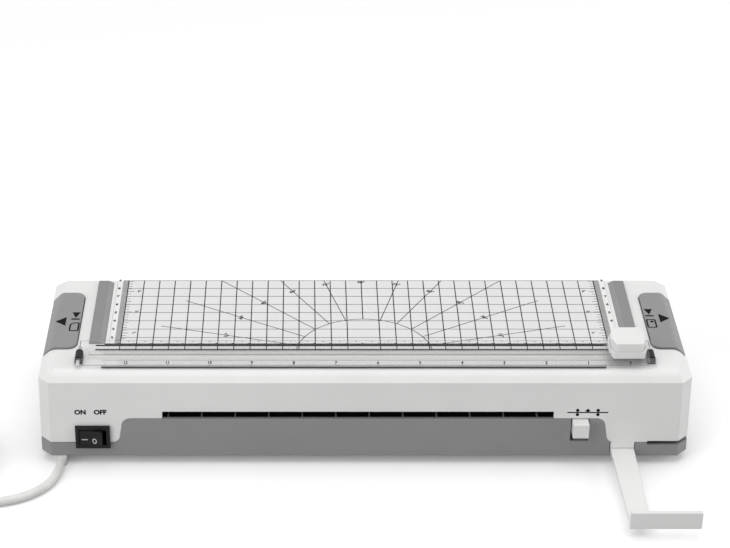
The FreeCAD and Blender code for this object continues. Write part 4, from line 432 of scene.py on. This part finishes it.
def letters(text, height, weight=0.0):
    """Flat letters of a given capital height, centred on nought, thickened by weight."""
    capital_share = 0.73
    curve = bpy.data.curves.new("letters", "FONT")
    curve.body = text
    curve.align_x = "CENTER"
    curve.align_y = "CENTER"
    curve.size = height / capital_share
    curve.offset = weight
    curve.resolution_u = 3
    holder = bpy.data.objects.new("letters", curve)
    mesh = bpy.data.meshes.new_from_object(holder)
    mesh.calc_loop_triangles()
    points = np.empty(3 * len(mesh.vertices))
    mesh.vertices.foreach_get("co", points)
    corners = np.empty(3 * len(mesh.loop_triangles), int)
    mesh.loop_triangles.foreach_get("vertices", corners)
    bpy.data.objects.remove(holder)
    bpy.data.curves.remove(curve)
    bpy.data.meshes.remove(mesh)
    return points.reshape(-1, 3)[:, :2], corners.reshape(-1, 3)


def moved(mark, place, turn=0.0):
    """Mark turned about nought by an angle and then shifted to a place."""
    points, faces = mark
    cos, sin = math.cos(turn), math.sin(turn)
    return points @ np.array(((cos, sin), (-sin, cos))) + np.asarray(place), faces


def mirrored(mark):
    """Mark reflected from left to right, with its corners in reverse order so that it still faces up."""
    points, faces = mark
    return points * (-1, 1), faces[:, ::-1]


class Surface:
    """Flat carrier for marks: a point on it and its right and up directions."""

    def __init__(self, place, right, up):
        self.place = np.asarray(place, float)
        self.right = np.asarray(right, float)
        self.up = np.asarray(up, float)

    def lift(self, points):
        """Place plus right and up times the two coordinates, raised along the normal by the ink's lift."""
        normal = np.cross(self.right, self.up)
        return self.place + points[:, :1] * self.right + points[:, 1:] * self.up + INK_LIFT * normal


def surface_under(node, start, towards, right):
    """Carrier found by casting a ray at a node; right is laid flat on the face that the ray meets."""
    item = frame["nodes"][node]
    hit, place, normal, _ = item.ray_cast(Vector(start), Vector(towards))
    if not hit:
        raise RuntimeError(f"no face of {node} lies under the mark at {start}")
    right = Vector(right)
    right = (right - normal * right.dot(normal)).normalized()
    return Surface(place, right, normal.cross(right))


def make_marks(name, marks, surface, material, body):
    """One mesh of flat marks on a carrier, riding on a body."""
    points = np.concatenate([surface.lift(mark[0]) for mark in marks])
    counts = np.cumsum([0] + [len(mark[0]) for mark in marks])
    faces = [row for start, mark in zip(counts, marks) for row in (mark[1] + start).tolist()]
    mesh = bpy.data.meshes.new(name)
    mesh.from_pydata(points.tolist(), [], faces)
    mesh.materials.append(material)
    piece = bpy.data.objects.new(name, mesh)
    bpy.context.scene.collection.objects.link(piece)
    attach(piece, body)
    return piece


def new_curve_piece(name, curve, body):
    """Object for a curve, riding on a body."""
    piece = bpy.data.objects.new(name, curve)
    bpy.context.scene.collection.objects.link(piece)
    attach(piece, body)
    return piece


# Where the lead leaves the gland, and its runs on the floor: length, and heading in degrees from straight
# ahead to the left
CORD_EXIT = (-185.6 * MM, -26.9 * MM, 2.95 * MM)
CORD_FLOOR = 2.95 * MM
CORD_RUNS = ((9 * MM, 1.3), (16 * MM, 17), (17 * MM, 45), (18 * MM, 70))
# Straight pieces before and after the coil
RUN_IN_START = 25.5 * MM
RUN_IN_END = 5.5 * MM
TAIL_LENGTH = 38 * MM
COIL_CENTRE = (-268.0 * MM, -31.4 * MM)
COIL_RADIUS = 40.0 * MM
COIL_STEP = 6.1 * MM
COIL_POINTS = 16
COIL_RISE_LENGTH = 0.5


def coil_heading(inward):
    """Unit direction along the coil where it starts or ends: one step in or out for each way round."""
    way = np.array((-2 * math.pi * COIL_RADIUS, inward * COIL_STEP, 0))
    return way / np.linalg.norm(way)


def lead_points(coil_start):
    """Lead on the floor: each run goes on from the last along its heading, then straight into the coil."""
    points = [np.array(CORD_EXIT)]
    for length, heading in CORD_RUNS:
        turn = math.radians(heading)
        points.append(points[-1] - length * np.array((math.sin(turn), math.cos(turn), 0)))
    for distance in (RUN_IN_START, RUN_IN_END):
        points.append(coil_start - distance * coil_heading(1))
    return np.array(points)


def coil_points(turns):
    """Flat double coil: the radius shrinks by a step each turn, then grows back in a second layer.

    At turn t the point is the centre less the radius times sine and cosine of the angle, and the height
    eases up by one step over half a turn at the middle.
    """
    turn = np.linspace(0, turns, turns * COIL_POINTS + 1)
    radius = COIL_RADIUS - COIL_STEP * np.minimum(turn, turns - turn)
    rise_start = (turns - COIL_RISE_LENGTH) / 2
    ease = np.clip((turn - rise_start) / COIL_RISE_LENGTH, 0, 1)
    height = CORD_FLOOR + COIL_STEP * ease * ease * (3 - 2 * ease)
    angle = 2 * math.pi * turn
    return np.column_stack((
        COIL_CENTRE[0] - radius * np.sin(angle), COIL_CENTRE[1] - radius * np.cos(angle), height))


class LaminatorCord(bpy.types.Operator):
    """Lays the mains lead along the floor and into its tied coil"""
    bl_idname = "laminator.cord"
    bl_label = "Mains lead"

    def execute(self, context):
        settings = context.scene.laminator_cord
        coil = coil_points(settings.coil_turns)
        tail = coil[-1:] + TAIL_LENGTH * coil_heading(-1)
        points = np.concatenate((lead_points(coil[0]), coil, tail))
        curve = bpy.data.curves.new("mains_lead", "CURVE")
        curve.dimensions = "3D"
        spline = curve.splines.new("NURBS")
        spline.points.add(len(points) - 1)
        spline.points.foreach_set("co", np.column_stack((points, np.ones(len(points)))).ravel())
        spline.order_u = 3
        spline.use_endpoint_u = True
        spline.resolution_u = 6
        curve.bevel_depth = settings.diameter / 2
        curve.bevel_resolution = 5
        curve.use_fill_caps = True
        curve.materials.append(bpy.data.materials["vinyl_white"])
        piece = new_curve_piece("mains_lead", curve, "housing")
        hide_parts("cord_lead", "cord_coil")
        return {"FINISHED"}


class LaminatorFinishes(bpy.types.Operator):
    """Gives every part of the frame the finish of its material slot"""
    bl_idname = "laminator.finishes"
    bl_label = "Finishes"

    def execute(self, context):
        finishes = make_finishes(context.scene.laminator_body, context.scene.laminator_cord)
        for part in frame["record"]["subparts"]:
            item = frame["nodes"][part["node"]]
            for place in item.material_slots:
                place.material = finishes[part["material_slot"]]
        return {"FINISHED"}


MARK_FRONT_Y = 6.0 * MM
ANGLES = (15, 30, 45, 60, 75)
LABEL_RADIUS = 87.8 * MM
SHORT_RAYS = {15: 130.4 * MM, 30: 129.3 * MM}
# Printed digits: how much their strokes are thickened, and the smaller ones' shares of the full height
HEAVY_STROKE = 0.16 * MM
MEDIUM_STROKE = 0.14 * MM
LIGHT_STROKE = 0.1 * MM
CENTIMETRE_SHARE = 0.9
INCH_SHARE = 0.8
SMALL_SHARE = 0.75
# Columns of numbers at both ends of the grid
CENTIMETRE_X = 155.6 * MM
FIRST_CENTIMETRE = 2
CENTIMETRE_COUNT = 8
INCH_X = 142.4 * MM
INCH_COUNT = 3
EIGHTHS = 8


def angle_rays(radius):
    """Rays from the arc: each starts on the arc at its angle and runs out to its end, on both sides."""
    angles = np.radians(ANGLES)
    to_back = (GRID_BACK_Y - CUT_LINE_Y) / np.sin(angles)
    reach = np.array([SHORT_RAYS.get(angle, back) for angle, back in zip(ANGLES, to_back)])
    way = np.column_stack((np.cos(angles), np.sin(angles)))
    centre = np.array((0, CUT_LINE_Y))
    starts = centre + radius * way
    ends = centre + reach[:, None] * way
    flip = np.array((-1, 1))
    return np.concatenate((starts, starts * flip)), np.concatenate((ends, ends * flip))


def angle_labels(height):
    """Degree numbers on a circle round the arc's centre, each upright along its ray."""
    labels = []
    for angle in (*ANGLES, 90, *(180 - angle for angle in ANGLES)):
        turn = math.radians(angle)
        place = (LABEL_RADIUS * math.cos(turn), CUT_LINE_Y + LABEL_RADIUS * math.sin(turn))
        shown = min(angle, 180 - angle)
        labels.append(moved(letters(f"{shown}°", height, MEDIUM_STROKE), place, turn - math.pi / 2))
    return labels


def cross_lines(settings):
    """Lines from front to back at each pitch; the middle one starts on the arc."""
    across = np.arange(-GRID_HALF, GRID_HALF + settings.pitch / 2, settings.pitch)
    front = np.where(np.isclose(across, 0), CUT_LINE_Y + settings.arc_radius, MARK_FRONT_Y)
    starts = np.column_stack((across, front))
    ends = np.column_stack((across, np.full(len(across), GRID_BACK_Y)))
    return bars(starts, ends, settings.cross_width)


def long_lines(settings):
    """Lines from end to end at each pitch back from the first."""
    depth = np.arange(GRID_ZERO_Y, GRID_BACK_Y + settings.pitch / 2, settings.pitch)
    ends = np.column_stack((np.full(len(depth), GRID_HALF), depth))
    return bars(ends * (-1, 1), ends, settings.long_width)


def millimetre_ticks():
    """Ticks each millimetre along both ends of the grid, outside its last lines."""
    length = 3.6 * MM
    width = 0.5 * MM
    ahead = 7 * MM
    depth = np.arange(GRID_ZERO_Y - ahead, GRID_BACK_Y, MM)
    starts = np.column_stack((np.full(len(depth), GRID_HALF), depth))
    right = bars(starts, starts + (length, 0), width)
    return [right, mirrored(right)]


def inch_ticks():
    """Ticks each eighth of an inch inside both ends of the grid, longer at halves and longest at inches."""
    width = 0.4 * MM
    eighth_tick = 2.6 * MM
    half_tick = 3.4 * MM
    inch_tick = 4.2 * MM
    first = 6
    count = np.arange(first, int((GRID_BACK_Y - CUT_LINE_Y) / INCH * EIGHTHS) + 1)
    length = np.where(count % (EIGHTHS // 2) == 0, half_tick, eighth_tick)
    length = np.where(count % EIGHTHS == 0, inch_tick, length)
    ends = np.column_stack((np.full(len(count), GRID_HALF), CUT_LINE_Y + count * INCH / EIGHTHS))
    starts = ends - np.column_stack((length, np.zeros(len(count))))
    right = bars(starts, ends, width)
    return [right, mirrored(right)]


def edge_numbers(height):
    """Centimetres from the cutting line outside the ticks, and inches inside them, at both ends."""
    marks = []
    for side in (-1, 1):
        for count in range(CENTIMETRE_COUNT):
            place = (side * CENTIMETRE_X, GRID_ZERO_Y + count * CENTIMETRE)
            number = letters(str(count + FIRST_CENTIMETRE), height * CENTIMETRE_SHARE, HEAVY_STROKE)
            marks.append(moved(number, place))
        for count in range(1, INCH_COUNT + 1):
            place = (side * INCH_X, CUT_LINE_Y + count * INCH)
            number = letters(f'{count}"', height * INCH_SHARE, MEDIUM_STROKE)
            marks.append(moved(number, place))
    return marks


def front_numbers(settings):
    """Centimetre numbers behind the rail, counted from the middle both ways, with dots at the halves."""
    dot_y = GRID_ZERO_Y - 4.6 * MM
    dot_radius = 0.4 * MM
    number_y = GRID_ZERO_Y - 7.4 * MM
    number_shift = 0.9 * MM
    half_dots = np.arange(-GRID_HALF + settings.pitch / 2, GRID_HALF, settings.pitch)
    dots = np.column_stack((half_dots, np.full(len(half_dots), dot_y)))
    marks = [discs(dots, dot_radius)]
    last = round(GRID_HALF / settings.pitch)
    for count in range(-last, last + 1):
        number = letters(str(abs(count)), settings.digit_height * SMALL_SHARE, LIGHT_STROKE)
        marks.append(moved(number, (count * settings.pitch - number_shift, number_y)))
    return marks


class LaminatorMatPrint(bpy.types.Operator):
    """Prints the grid, the angle lines and the numbers on the measuring mat"""
    bl_idname = "laminator.mat_print"
    bl_label = "Mat print"

    def execute(self, context):
        settings = context.scene.laminator_print
        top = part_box("measuring_mat")[1].z
        lid = Surface((0, 0, top), (1, 0, 0), (0, 1, 0))
        dark = screen_ink("ink_mat_dark", settings.dark_ink)
        pale = screen_ink("ink_mat_pale", settings.pale_ink)
        arc_start = math.asin((MARK_FRONT_Y - CUT_LINE_Y) / settings.arc_radius)
        arc = arc_band((0, CUT_LINE_Y), (settings.arc_radius, settings.arc_radius),
                       arc_start, math.pi - arc_start, settings.long_width)
        rays = bars(*angle_rays(settings.arc_radius), settings.long_width)
        make_marks("mat_cross_lines", [cross_lines(settings)], lid, dark, "housing")
        make_marks("mat_angle_lines", [arc, rays], lid, dark, "housing")
        make_marks("mat_long_lines", [long_lines(settings)], lid, pale, "housing")
        make_marks("mat_divisions", millimetre_ticks() + inch_ticks(), lid, dark, "housing")
        numbers = angle_labels(settings.digit_height) + edge_numbers(settings.digit_height)
        make_marks("mat_numbers", numbers + front_numbers(settings), lid, dark, "housing")
        return {"FINISHED"}


RAIL_FIRST_INCH = -144.7 * MM
RAIL_INCHES = 13
RAIL_MARK_Y = -13.9 * MM
RAIL_LINE_HALF = 158.6 * MM
# Place and width of the dark band of painted shade that stands for the slot's edge seen through the rail
RAIL_SLOT_SHADOW_Y = 4.4 * MM
RAIL_RIDGE_Y = -7.2 * MM
RAIL_END_X = 173.3 * MM
# Stops short of the mouth of the hinge pin's hole in the sloping front
RAIL_FRONT_END_X = 171.2 * MM
RAIL_REAR_Y = 8.5 * MM
RAIL_NOTCH_Y = 0.2 * MM
RAIL_TICK = 0.75 * MM
RAIL_TICK_WIDTH = 0.5 * MM
RAIL_SLOT_SHADOW_WIDTH = 1.4 * MM
RAIL_EDGE_WIDTH = 0.5 * MM
RAIL_FOOT_WIDTH = 0.4 * MM
RAIL_FINE_WIDTH = 0.3 * MM
# Distances up the sloping front from the row of inch marks
RAIL_NUMBER_UP = 1.2 * MM
RAIL_FOOT_UP = -0.55 * MM
RAIL_BEND_UP = 2.9 * MM


def rail_line(half, height, width):
    """Bar along the rail to both sides of the middle, at a distance up from its carrier's middle."""
    return bars((-half, height), (half, height), width)


def rail_numbers(height):
    """Tick and number at each inch of the rail, counted from its right end."""
    marks = []
    for count in range(RAIL_INCHES):
        across = RAIL_FIRST_INCH + count * INCH
        marks.append(bars((across, -RAIL_TICK), (across, 0.0), RAIL_TICK_WIDTH))
        number = letters(str(RAIL_INCHES - 1 - count), height, LIGHT_STROKE)
        marks.append(moved(number, (across, RAIL_NUMBER_UP)))
    return marks


class LaminatorRailMarks(bpy.types.Operator):
    """Puts the inch marks on the sloping front of the clear rail, and lines along it, one of them a painted
    shadow of the slot's edge
    """
    bl_idname = "laminator.rail_marks"
    bl_label = "Rail marks"

    def execute(self, context):
        settings = context.scene.laminator_print
        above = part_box("clear_rail")[1].z + RAY_START
        slope = surface_under("clear_rail", (0, RAIL_MARK_Y, above), (0, 0, -1), (1, 0, 0))
        marks = rail_numbers(settings.digit_height * SMALL_SHARE)
        # The same dark ink serves for the printed inch marks and for the painted shadow of the slot's edge
        ink = screen_ink("rail_dark_ink_and_painted_shade", settings.dark_ink)
        make_marks("rail_inch_marks", marks, slope, ink, "rail")
        top = surface_under("clear_rail", (0, RAIL_RIDGE_Y, above), (0, 0, -1), (1, 0, 0))
        # A dark band of painted shade where the slot's edge is seen dark through the clear rail
        slot_shadow = rail_line(RAIL_LINE_HALF, RAIL_SLOT_SHADOW_Y - RAIL_RIDGE_Y, RAIL_SLOT_SHADOW_WIDTH)
        make_marks("rail_painted_slot_shadow", [slot_shadow], top, ink, "rail")
        # The edges and steps moulded along the bar turn the light away, and look like thin grey lines
        shade = screen_ink("acrylic_edge_grey", linear("#8C8E8E"))
        notch = RAIL_NOTCH_Y - RAIL_RIDGE_Y
        rear = RAIL_REAR_Y - RAIL_RIDGE_Y
        starts = ((-RAIL_END_X, notch), (RAIL_END_X, notch))
        stops = ((-RAIL_END_X, rear), (RAIL_END_X, rear))
        ridge_edge = rail_line(RAIL_LINE_HALF, 0, RAIL_EDGE_WIDTH)
        rear_edge = rail_line(RAIL_END_X, rear, RAIL_FINE_WIDTH)
        top_edges = [ridge_edge, rear_edge, bars(starts, stops, RAIL_EDGE_WIDTH)]
        make_marks("rail_top_edges", top_edges, top, shade, "rail")
        foot_edge = rail_line(RAIL_FRONT_END_X, RAIL_FOOT_UP, RAIL_FOOT_WIDTH)
        bend_edge = rail_line(RAIL_LINE_HALF, RAIL_BEND_UP, RAIL_FINE_WIDTH)
        make_marks("rail_front_edges", [foot_edge, bend_edge], slope, shade, "rail")
        return {"FINISHED"}


LEVER_SIGN_X = 179.9 * MM
LEVER_ARROW_X = 185.6 * MM
LEVER_ARROW_LENGTH = 6.5 * MM
LEVER_ARROW_HALF = 5.2 * MM
LEFT_SIGN_Y = 38.0 * MM
RIGHT_SIGN_Y = 42.0 * MM
SHEET_HALF = (2.6 * MM, 4.6 * MM)
SIGN_SPREAD = 6.4 * MM
SIGN_LINE = 1.0 * MM
SHEET_CORNER = 3.2 * MM
HOLE_PLACE = (0.6 * MM, 2.2 * MM)
HOLE_RADIUS = 1.1 * MM
# Corners of the round discs and of the rocker's ring
DISC_STEPS = 24
RING_STEPS = 40


def arrow_head():
    """Filled triangle on the right lever that points to the outside."""
    return polygon(((0, -LEVER_ARROW_HALF), (LEVER_ARROW_LENGTH, 0), (0, LEVER_ARROW_HALF)))


def sheet_outline(corner):
    """Outline of a sheet: four bars, whose back outer corner is an arc of the given radius."""
    x, y = SHEET_HALF
    starts = np.array(((-x, y), (-x, -y), (-x, -y), (x, -y)))
    ends = np.array(((x - corner, y), (-x, y), (x, -y), (x, y - corner)))
    line = bars(starts, ends, SIGN_LINE)
    if corner == 0:
        return [line]
    return [line, arc_band((x - corner, y - corner), (corner, corner), 0, math.pi / 2, SIGN_LINE, 12)]


def press_sign():
    """Filled head that comes down on a bar, the common sign for pressing."""
    x, y = SHEET_HALF
    head = polygon(((-x, y), (0, -y / 2), (x, y)))
    return [head, bars((-x, -y + SIGN_LINE), (x, -y + SIGN_LINE), 1.5 * SIGN_LINE)]


class LaminatorLeverSigns(bpy.types.Operator):
    """Puts an arrow and two small pictures of its work on each press lever"""
    bl_idname = "laminator.lever_signs"
    bl_label = "Lever signs"

    def execute(self, context):
        settings = context.scene.laminator_signs
        ink = screen_ink("ink_lever_black", settings.black_ink)
        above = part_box("punch_lever")[1].z + RAY_START
        right_pad = surface_under("punch_lever", (LEVER_SIGN_X, RIGHT_SIGN_Y, above), (0, 0, -1), (1, 0, 0))
        left_pad = surface_under("corner_lever", (-LEVER_SIGN_X, LEFT_SIGN_Y, above), (0, 0, -1), (1, 0, 0))
        arrow = moved(arrow_head(), (LEVER_ARROW_X - LEVER_SIGN_X, 0))
        hole = discs((HOLE_PLACE,), HOLE_RADIUS, DISC_STEPS)
        press = [moved(mark, (0, SIGN_SPREAD)) for mark in press_sign()]
        punched = [moved(mark, (0, -SIGN_SPREAD)) for mark in [hole] + sheet_outline(0)]
        rounded = [moved(mark, (0, -SIGN_SPREAD)) for mark in sheet_outline(SHEET_CORNER)]
        right_marks = [arrow] + press + punched
        left_marks = [mirrored(mark) for mark in [arrow] + press + rounded]
        make_marks("punch_lever_sign", right_marks, right_pad, ink, "hole_press")
        make_marks("corner_lever_sign", left_marks, left_pad, ink, "corner_press")
        return {"FINISHED"}


ON_X = -172.6 * MM
OFF_X = -160.5 * MM
RELEASE_SIGN_X = 135.0 * MM
WORD_STROKE = 0.22 * MM


def front_panel(across, height):
    """Carrier on the leaning front face at a place across and a height over the floor."""
    depth = FRONT_FOOT_Y + (height - FRONT_FOOT_Z) * math.tan(FRONT_LEAN)
    return Surface((across, depth, height), (1, 0, 0), (0, math.sin(FRONT_LEAN), math.cos(FRONT_LEAN)))


def release_sign():
    """Two pairs of rollers on a sheet and an arrow up, for lifting the rollers off a stuck sheet."""
    roller = 1.05 * MM
    gap = 1.5 * MM
    reach = 6.2 * MM
    sheet = 0.8 * MM
    stem_width = 1.2 * MM
    stem_top = 1.0 * MM
    head_half = 1.9 * MM
    head_foot = 0.8 * MM
    head_tip = 2.7 * MM
    rollers = [(across, side * gap) for across in (-reach, reach) for side in (-1, 1)]
    return [
        discs(rollers, roller, DISC_STEPS),
        bars((-2 * reach, 0), (2 * reach, 0), sheet),
        bars((0, 0), (0, stem_top), stem_width),
        polygon(((-head_half, head_foot), (head_half, head_foot), (0, head_tip))),
    ]


class LaminatorPanelSigns(bpy.types.Operator):
    """Prints the words over the switch and the sign over the release lever"""
    bl_idname = "laminator.panel_signs"
    bl_label = "Panel signs"

    def execute(self, context):
        settings = context.scene.laminator_signs
        ink = screen_ink("ink_panel_black", settings.black_ink)
        for name, text, across in (("switch_on_word", "ON", ON_X), ("switch_off_word", "OFF", OFF_X)):
            word = letters(text, settings.letter_height, WORD_STROKE)
            make_marks(name, [word], front_panel(across, SIGN_LEVEL), ink, "housing")
        make_marks("release_sign", release_sign(), front_panel(RELEASE_SIGN_X, SIGN_LEVEL), ink,
                   "housing")
        return {"FINISHED"}


STROKE_PLACE = (-170.4 * MM, 18.9 * MM)
STROKE_HALF = 1.8 * MM
STROKE_WIDTH = 0.6 * MM
RING_PLACE = (-164.4 * MM, 18.2 * MM)
RING_RADII = (1.15 * MM, 1.5 * MM)
RING_WIDTH = 0.55 * MM


def rocker_face(place):
    """Carrier on the front of the rocker at a place across and a height over the floor."""
    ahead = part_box("rocker")[0].y - RAY_START
    return surface_under("rocker", (place[0], ahead, place[1]), (0, 1, 0), (1, 0, 0))


class LaminatorRockerSigns(bpy.types.Operator):
    """Puts the stroke and the ring on the two halves of the rocker"""
    bl_idname = "laminator.rocker_signs"
    bl_label = "Rocker signs"

    def execute(self, context):
        settings = context.scene.laminator_signs
        ink = screen_ink("ink_switch_white", settings.white_ink)
        stroke = bars((-STROKE_HALF, 0), (STROKE_HALF, 0), STROKE_WIDTH)
        ring = arc_band((0, 0), RING_RADII, 0, 2 * math.pi, RING_WIDTH, RING_STEPS)
        signs = (("rocker_stroke", stroke, STROKE_PLACE), ("rocker_ring", ring, RING_PLACE))
        for name, mark, place in signs:
            make_marks(name, [mark], rocker_face(place), ink, "switch_rocker")
        return {"FINISHED"}


FLOOR_RADIUS = 14.0
FLOOR_DROP = 0.05 * MM
FLOOR_ROWS = 24
FLOOR_COLUMNS = 96
FLOOR_FIRST_ROW = 0.02
# The floor's glow grows from its value near the machine to the far value between these distances
GLOW_START = 0.7
GLOW_END = 3.0
FAR_GLOW = 0.8
TOP_LAMP = ((0.0, 0.2, 1.9), 2.2)
LEFT_LAMP = ((-1.4, -1.1, 0.9), 1.4)
RIGHT_LAMP = ((1.9, -0.15, 0.7), 1.4)


def floor_mesh():
    """Round floor: radius grows with the square of the row, angle with the column."""
    rows = np.linspace(FLOOR_FIRST_ROW, 1, FLOOR_ROWS) ** 2 * FLOOR_RADIUS
    columns = np.arange(FLOOR_COLUMNS)
    radius, angle = np.meshgrid(rows, columns * 2 * math.pi / FLOOR_COLUMNS, indexing="ij")
    height = np.full(radius.shape, -FLOOR_DROP)
    points = np.stack((radius * np.cos(angle), radius * np.sin(angle), height), axis=2)
    inner, column = np.meshgrid(np.arange(FLOOR_ROWS - 1) * FLOOR_COLUMNS, columns, indexing="ij")
    outer = inner + FLOOR_COLUMNS
    following = (column + 1) % FLOOR_COLUMNS
    faces = np.stack((inner + column, outer + column, outer + following, inner + following), axis=2)
    mesh = bpy.data.meshes.new("studio_floor")
    mesh.from_pydata(points.reshape(-1, 3).tolist(), [], faces.reshape(-1, 4).tolist() + [columns.tolist()])
    return mesh


def seen_directly(tree):
    """One for the rays that see the studio: from the camera, in gloss and through clear parts."""
    path = add_node(tree, "ShaderNodeLightPath")
    gloss = add_node(tree, "ShaderNodeMath", {"operation": "MAXIMUM"}, {
        0: path.outputs["Is Glossy Ray"], 1: path.outputs["Is Transmission Ray"]}).outputs["Value"]
    return add_node(tree, "ShaderNodeMath", {"operation": "MAXIMUM"}, {
        0: path.outputs["Is Camera Ray"], 1: gloss}).outputs["Value"]


def floor_paper(white, bounce, glow):
    """Matt white paper with a tooth too fine to see; where it is seen it glows, and more so far away."""
    material, tree, place = start_material("paper_white")
    seen = seen_directly(tree)
    inputs = {"Fac": seen, "Color1": bounce, "Color2": white}
    shown = add_node(tree, "ShaderNodeMixRGB", inputs=inputs).outputs["Color"]
    distance = add_node(tree, "ShaderNodeVectorMath", {"operation": "LENGTH"}, {0: place}).outputs["Value"]
    spread = add_node(tree, "ShaderNodeMapRange", inputs={
        "Value": distance, "From Min": GLOW_START, "From Max": GLOW_END,
        "To Min": glow, "To Max": FAR_GLOW}).outputs["Result"]
    level = add_node(tree, "ShaderNodeMath", {"operation": "MULTIPLY"}, {0: spread, 1: seen}).outputs["Value"]
    finish_material(tree, {
        "Base Color": mottled(tree, place, shown, 0.4, 0.995, 1.0),
        "Roughness": 0.9,
        "Emission Color": white,
        "Emission Strength": level,
    })
    return material


def light_world(strength):
    """Even sky that lights the object softly and looks white to the camera and in reflections."""
    world = bpy.data.worlds.new("studio_sky")
    world.use_nodes = True
    tree = world.node_tree
    tree.nodes.clear()
    inputs = {"Value": seen_directly(tree), "To Min": strength, "To Max": 1.0}
    level = add_node(tree, "ShaderNodeMapRange", inputs=inputs).outputs["Result"]
    sky = add_node(tree, "ShaderNodeBackground", inputs={"Color": linear("#FFFFFF"), "Strength": level})
    add_node(tree, "ShaderNodeOutputWorld", inputs={"Surface": sky.outputs["Background"]})
    bpy.context.scene.world = world


def add_soft_box(name, place, size, power):
    """Square area lamp that faces the machine."""
    light = bpy.data.lights.new(name, "AREA")
    light.shape = "SQUARE"
    light.size = size
    light.energy = power
    lamp = bpy.data.objects.new(name, light)
    lamp.location = place
    lamp.rotation_euler = (-Vector(place)).to_track_quat("-Z", "Y").to_euler()
    bpy.context.scene.collection.objects.link(lamp)


class LaminatorStudio(bpy.types.Operator):
    """Sets up the camera of the photograph, the pale floor and the soft light"""
    bl_idname = "laminator.studio"
    bl_label = "Studio"

    def execute(self, context):
        settings = context.scene.laminator_studio
        scene = context.scene
        lens = bpy.data.cameras.new("photo_camera")
        lens.lens = CAMERA_LENS
        lens.shift_x = 0.5 - PHOTO_CENTRE_X / PHOTO_WIDTH
        camera = bpy.data.objects.new("photo_camera", lens)
        camera.location = CAMERA_PLACE
        camera.rotation_euler = (CAMERA_TILT, 0, 0)
        scene.collection.objects.link(camera)
        scene.camera = camera
        mesh = floor_mesh()
        mesh.materials.append(floor_paper(settings.floor_white, settings.floor_bounce, settings.floor_glow))
        floor = bpy.data.objects.new("studio_floor", mesh)
        scene.collection.objects.link(floor)
        add_soft_box("soft_box_top", *TOP_LAMP, settings.lamp_power)
        add_soft_box("soft_box_left", *LEFT_LAMP, settings.left_power)
        add_soft_box("soft_box_right", *RIGHT_LAMP, settings.right_power)
        light_world(settings.sky_strength)
        scene.view_settings.view_transform = "Standard"
        return {"FINISHED"}


class LaminatorPanel(bpy.types.Panel):
    """Lists the steps that dress the laminator"""
    bl_idname = "VIEW3D_PT_laminator"
    bl_label = "Laminator"
    bl_space_type = "VIEW_3D"
    bl_region_type = "UI"
    bl_category = "Laminator"

    def draw(self, context):
        for operator in OPERATORS:
            self.layout.operator(operator.bl_idname)
        for name in SETTINGS:
            column = self.layout.column()
            group = getattr(context.scene, name)
            for field in group.__annotations__:
                column.prop(group, field)


SETTINGS = {
    "laminator_body": BodySettings,
    "laminator_cord": CordSettings,
    "laminator_print": MatPrintSettings,
    "laminator_signs": SignSettings,
    "laminator_studio": StudioSettings,
}
OPERATORS = (
    LaminatorStudio,
    LaminatorFinishes,
    LaminatorCord,
    LaminatorMatPrint,
    LaminatorRailMarks,
    LaminatorLeverSigns,
    LaminatorPanelSigns,
    LaminatorRockerSigns,
)


def register():
    """Registers the settings, the operators and the panel."""
    for name, group in SETTINGS.items():
        bpy.utils.register_class(group)
        setattr(bpy.types.Scene, name, bpy.props.PointerProperty(type=group))
    for operator in OPERATORS:
        bpy.utils.register_class(operator)
    bpy.utils.register_class(LaminatorPanel)


def unregister():
    """Takes away what register added."""
    bpy.utils.unregister_class(LaminatorPanel)
    for operator in reversed(OPERATORS):
        bpy.utils.unregister_class(operator)
    for name, group in SETTINGS.items():
        delattr(bpy.types.Scene, name)
        bpy.utils.unregister_class(group)


def main():
    """Registers the add-on and makes the pieces in order."""
    register()
    bpy.ops.laminator.studio()
    bpy.ops.laminator.finishes()
    bpy.ops.laminator.cord()
    bpy.ops.laminator.mat_print()
    bpy.ops.laminator.rail_marks()
    bpy.ops.laminator.lever_signs()
    bpy.ops.laminator.panel_signs()
    bpy.ops.laminator.rocker_signs()


if __name__ == "__main__":
    main()
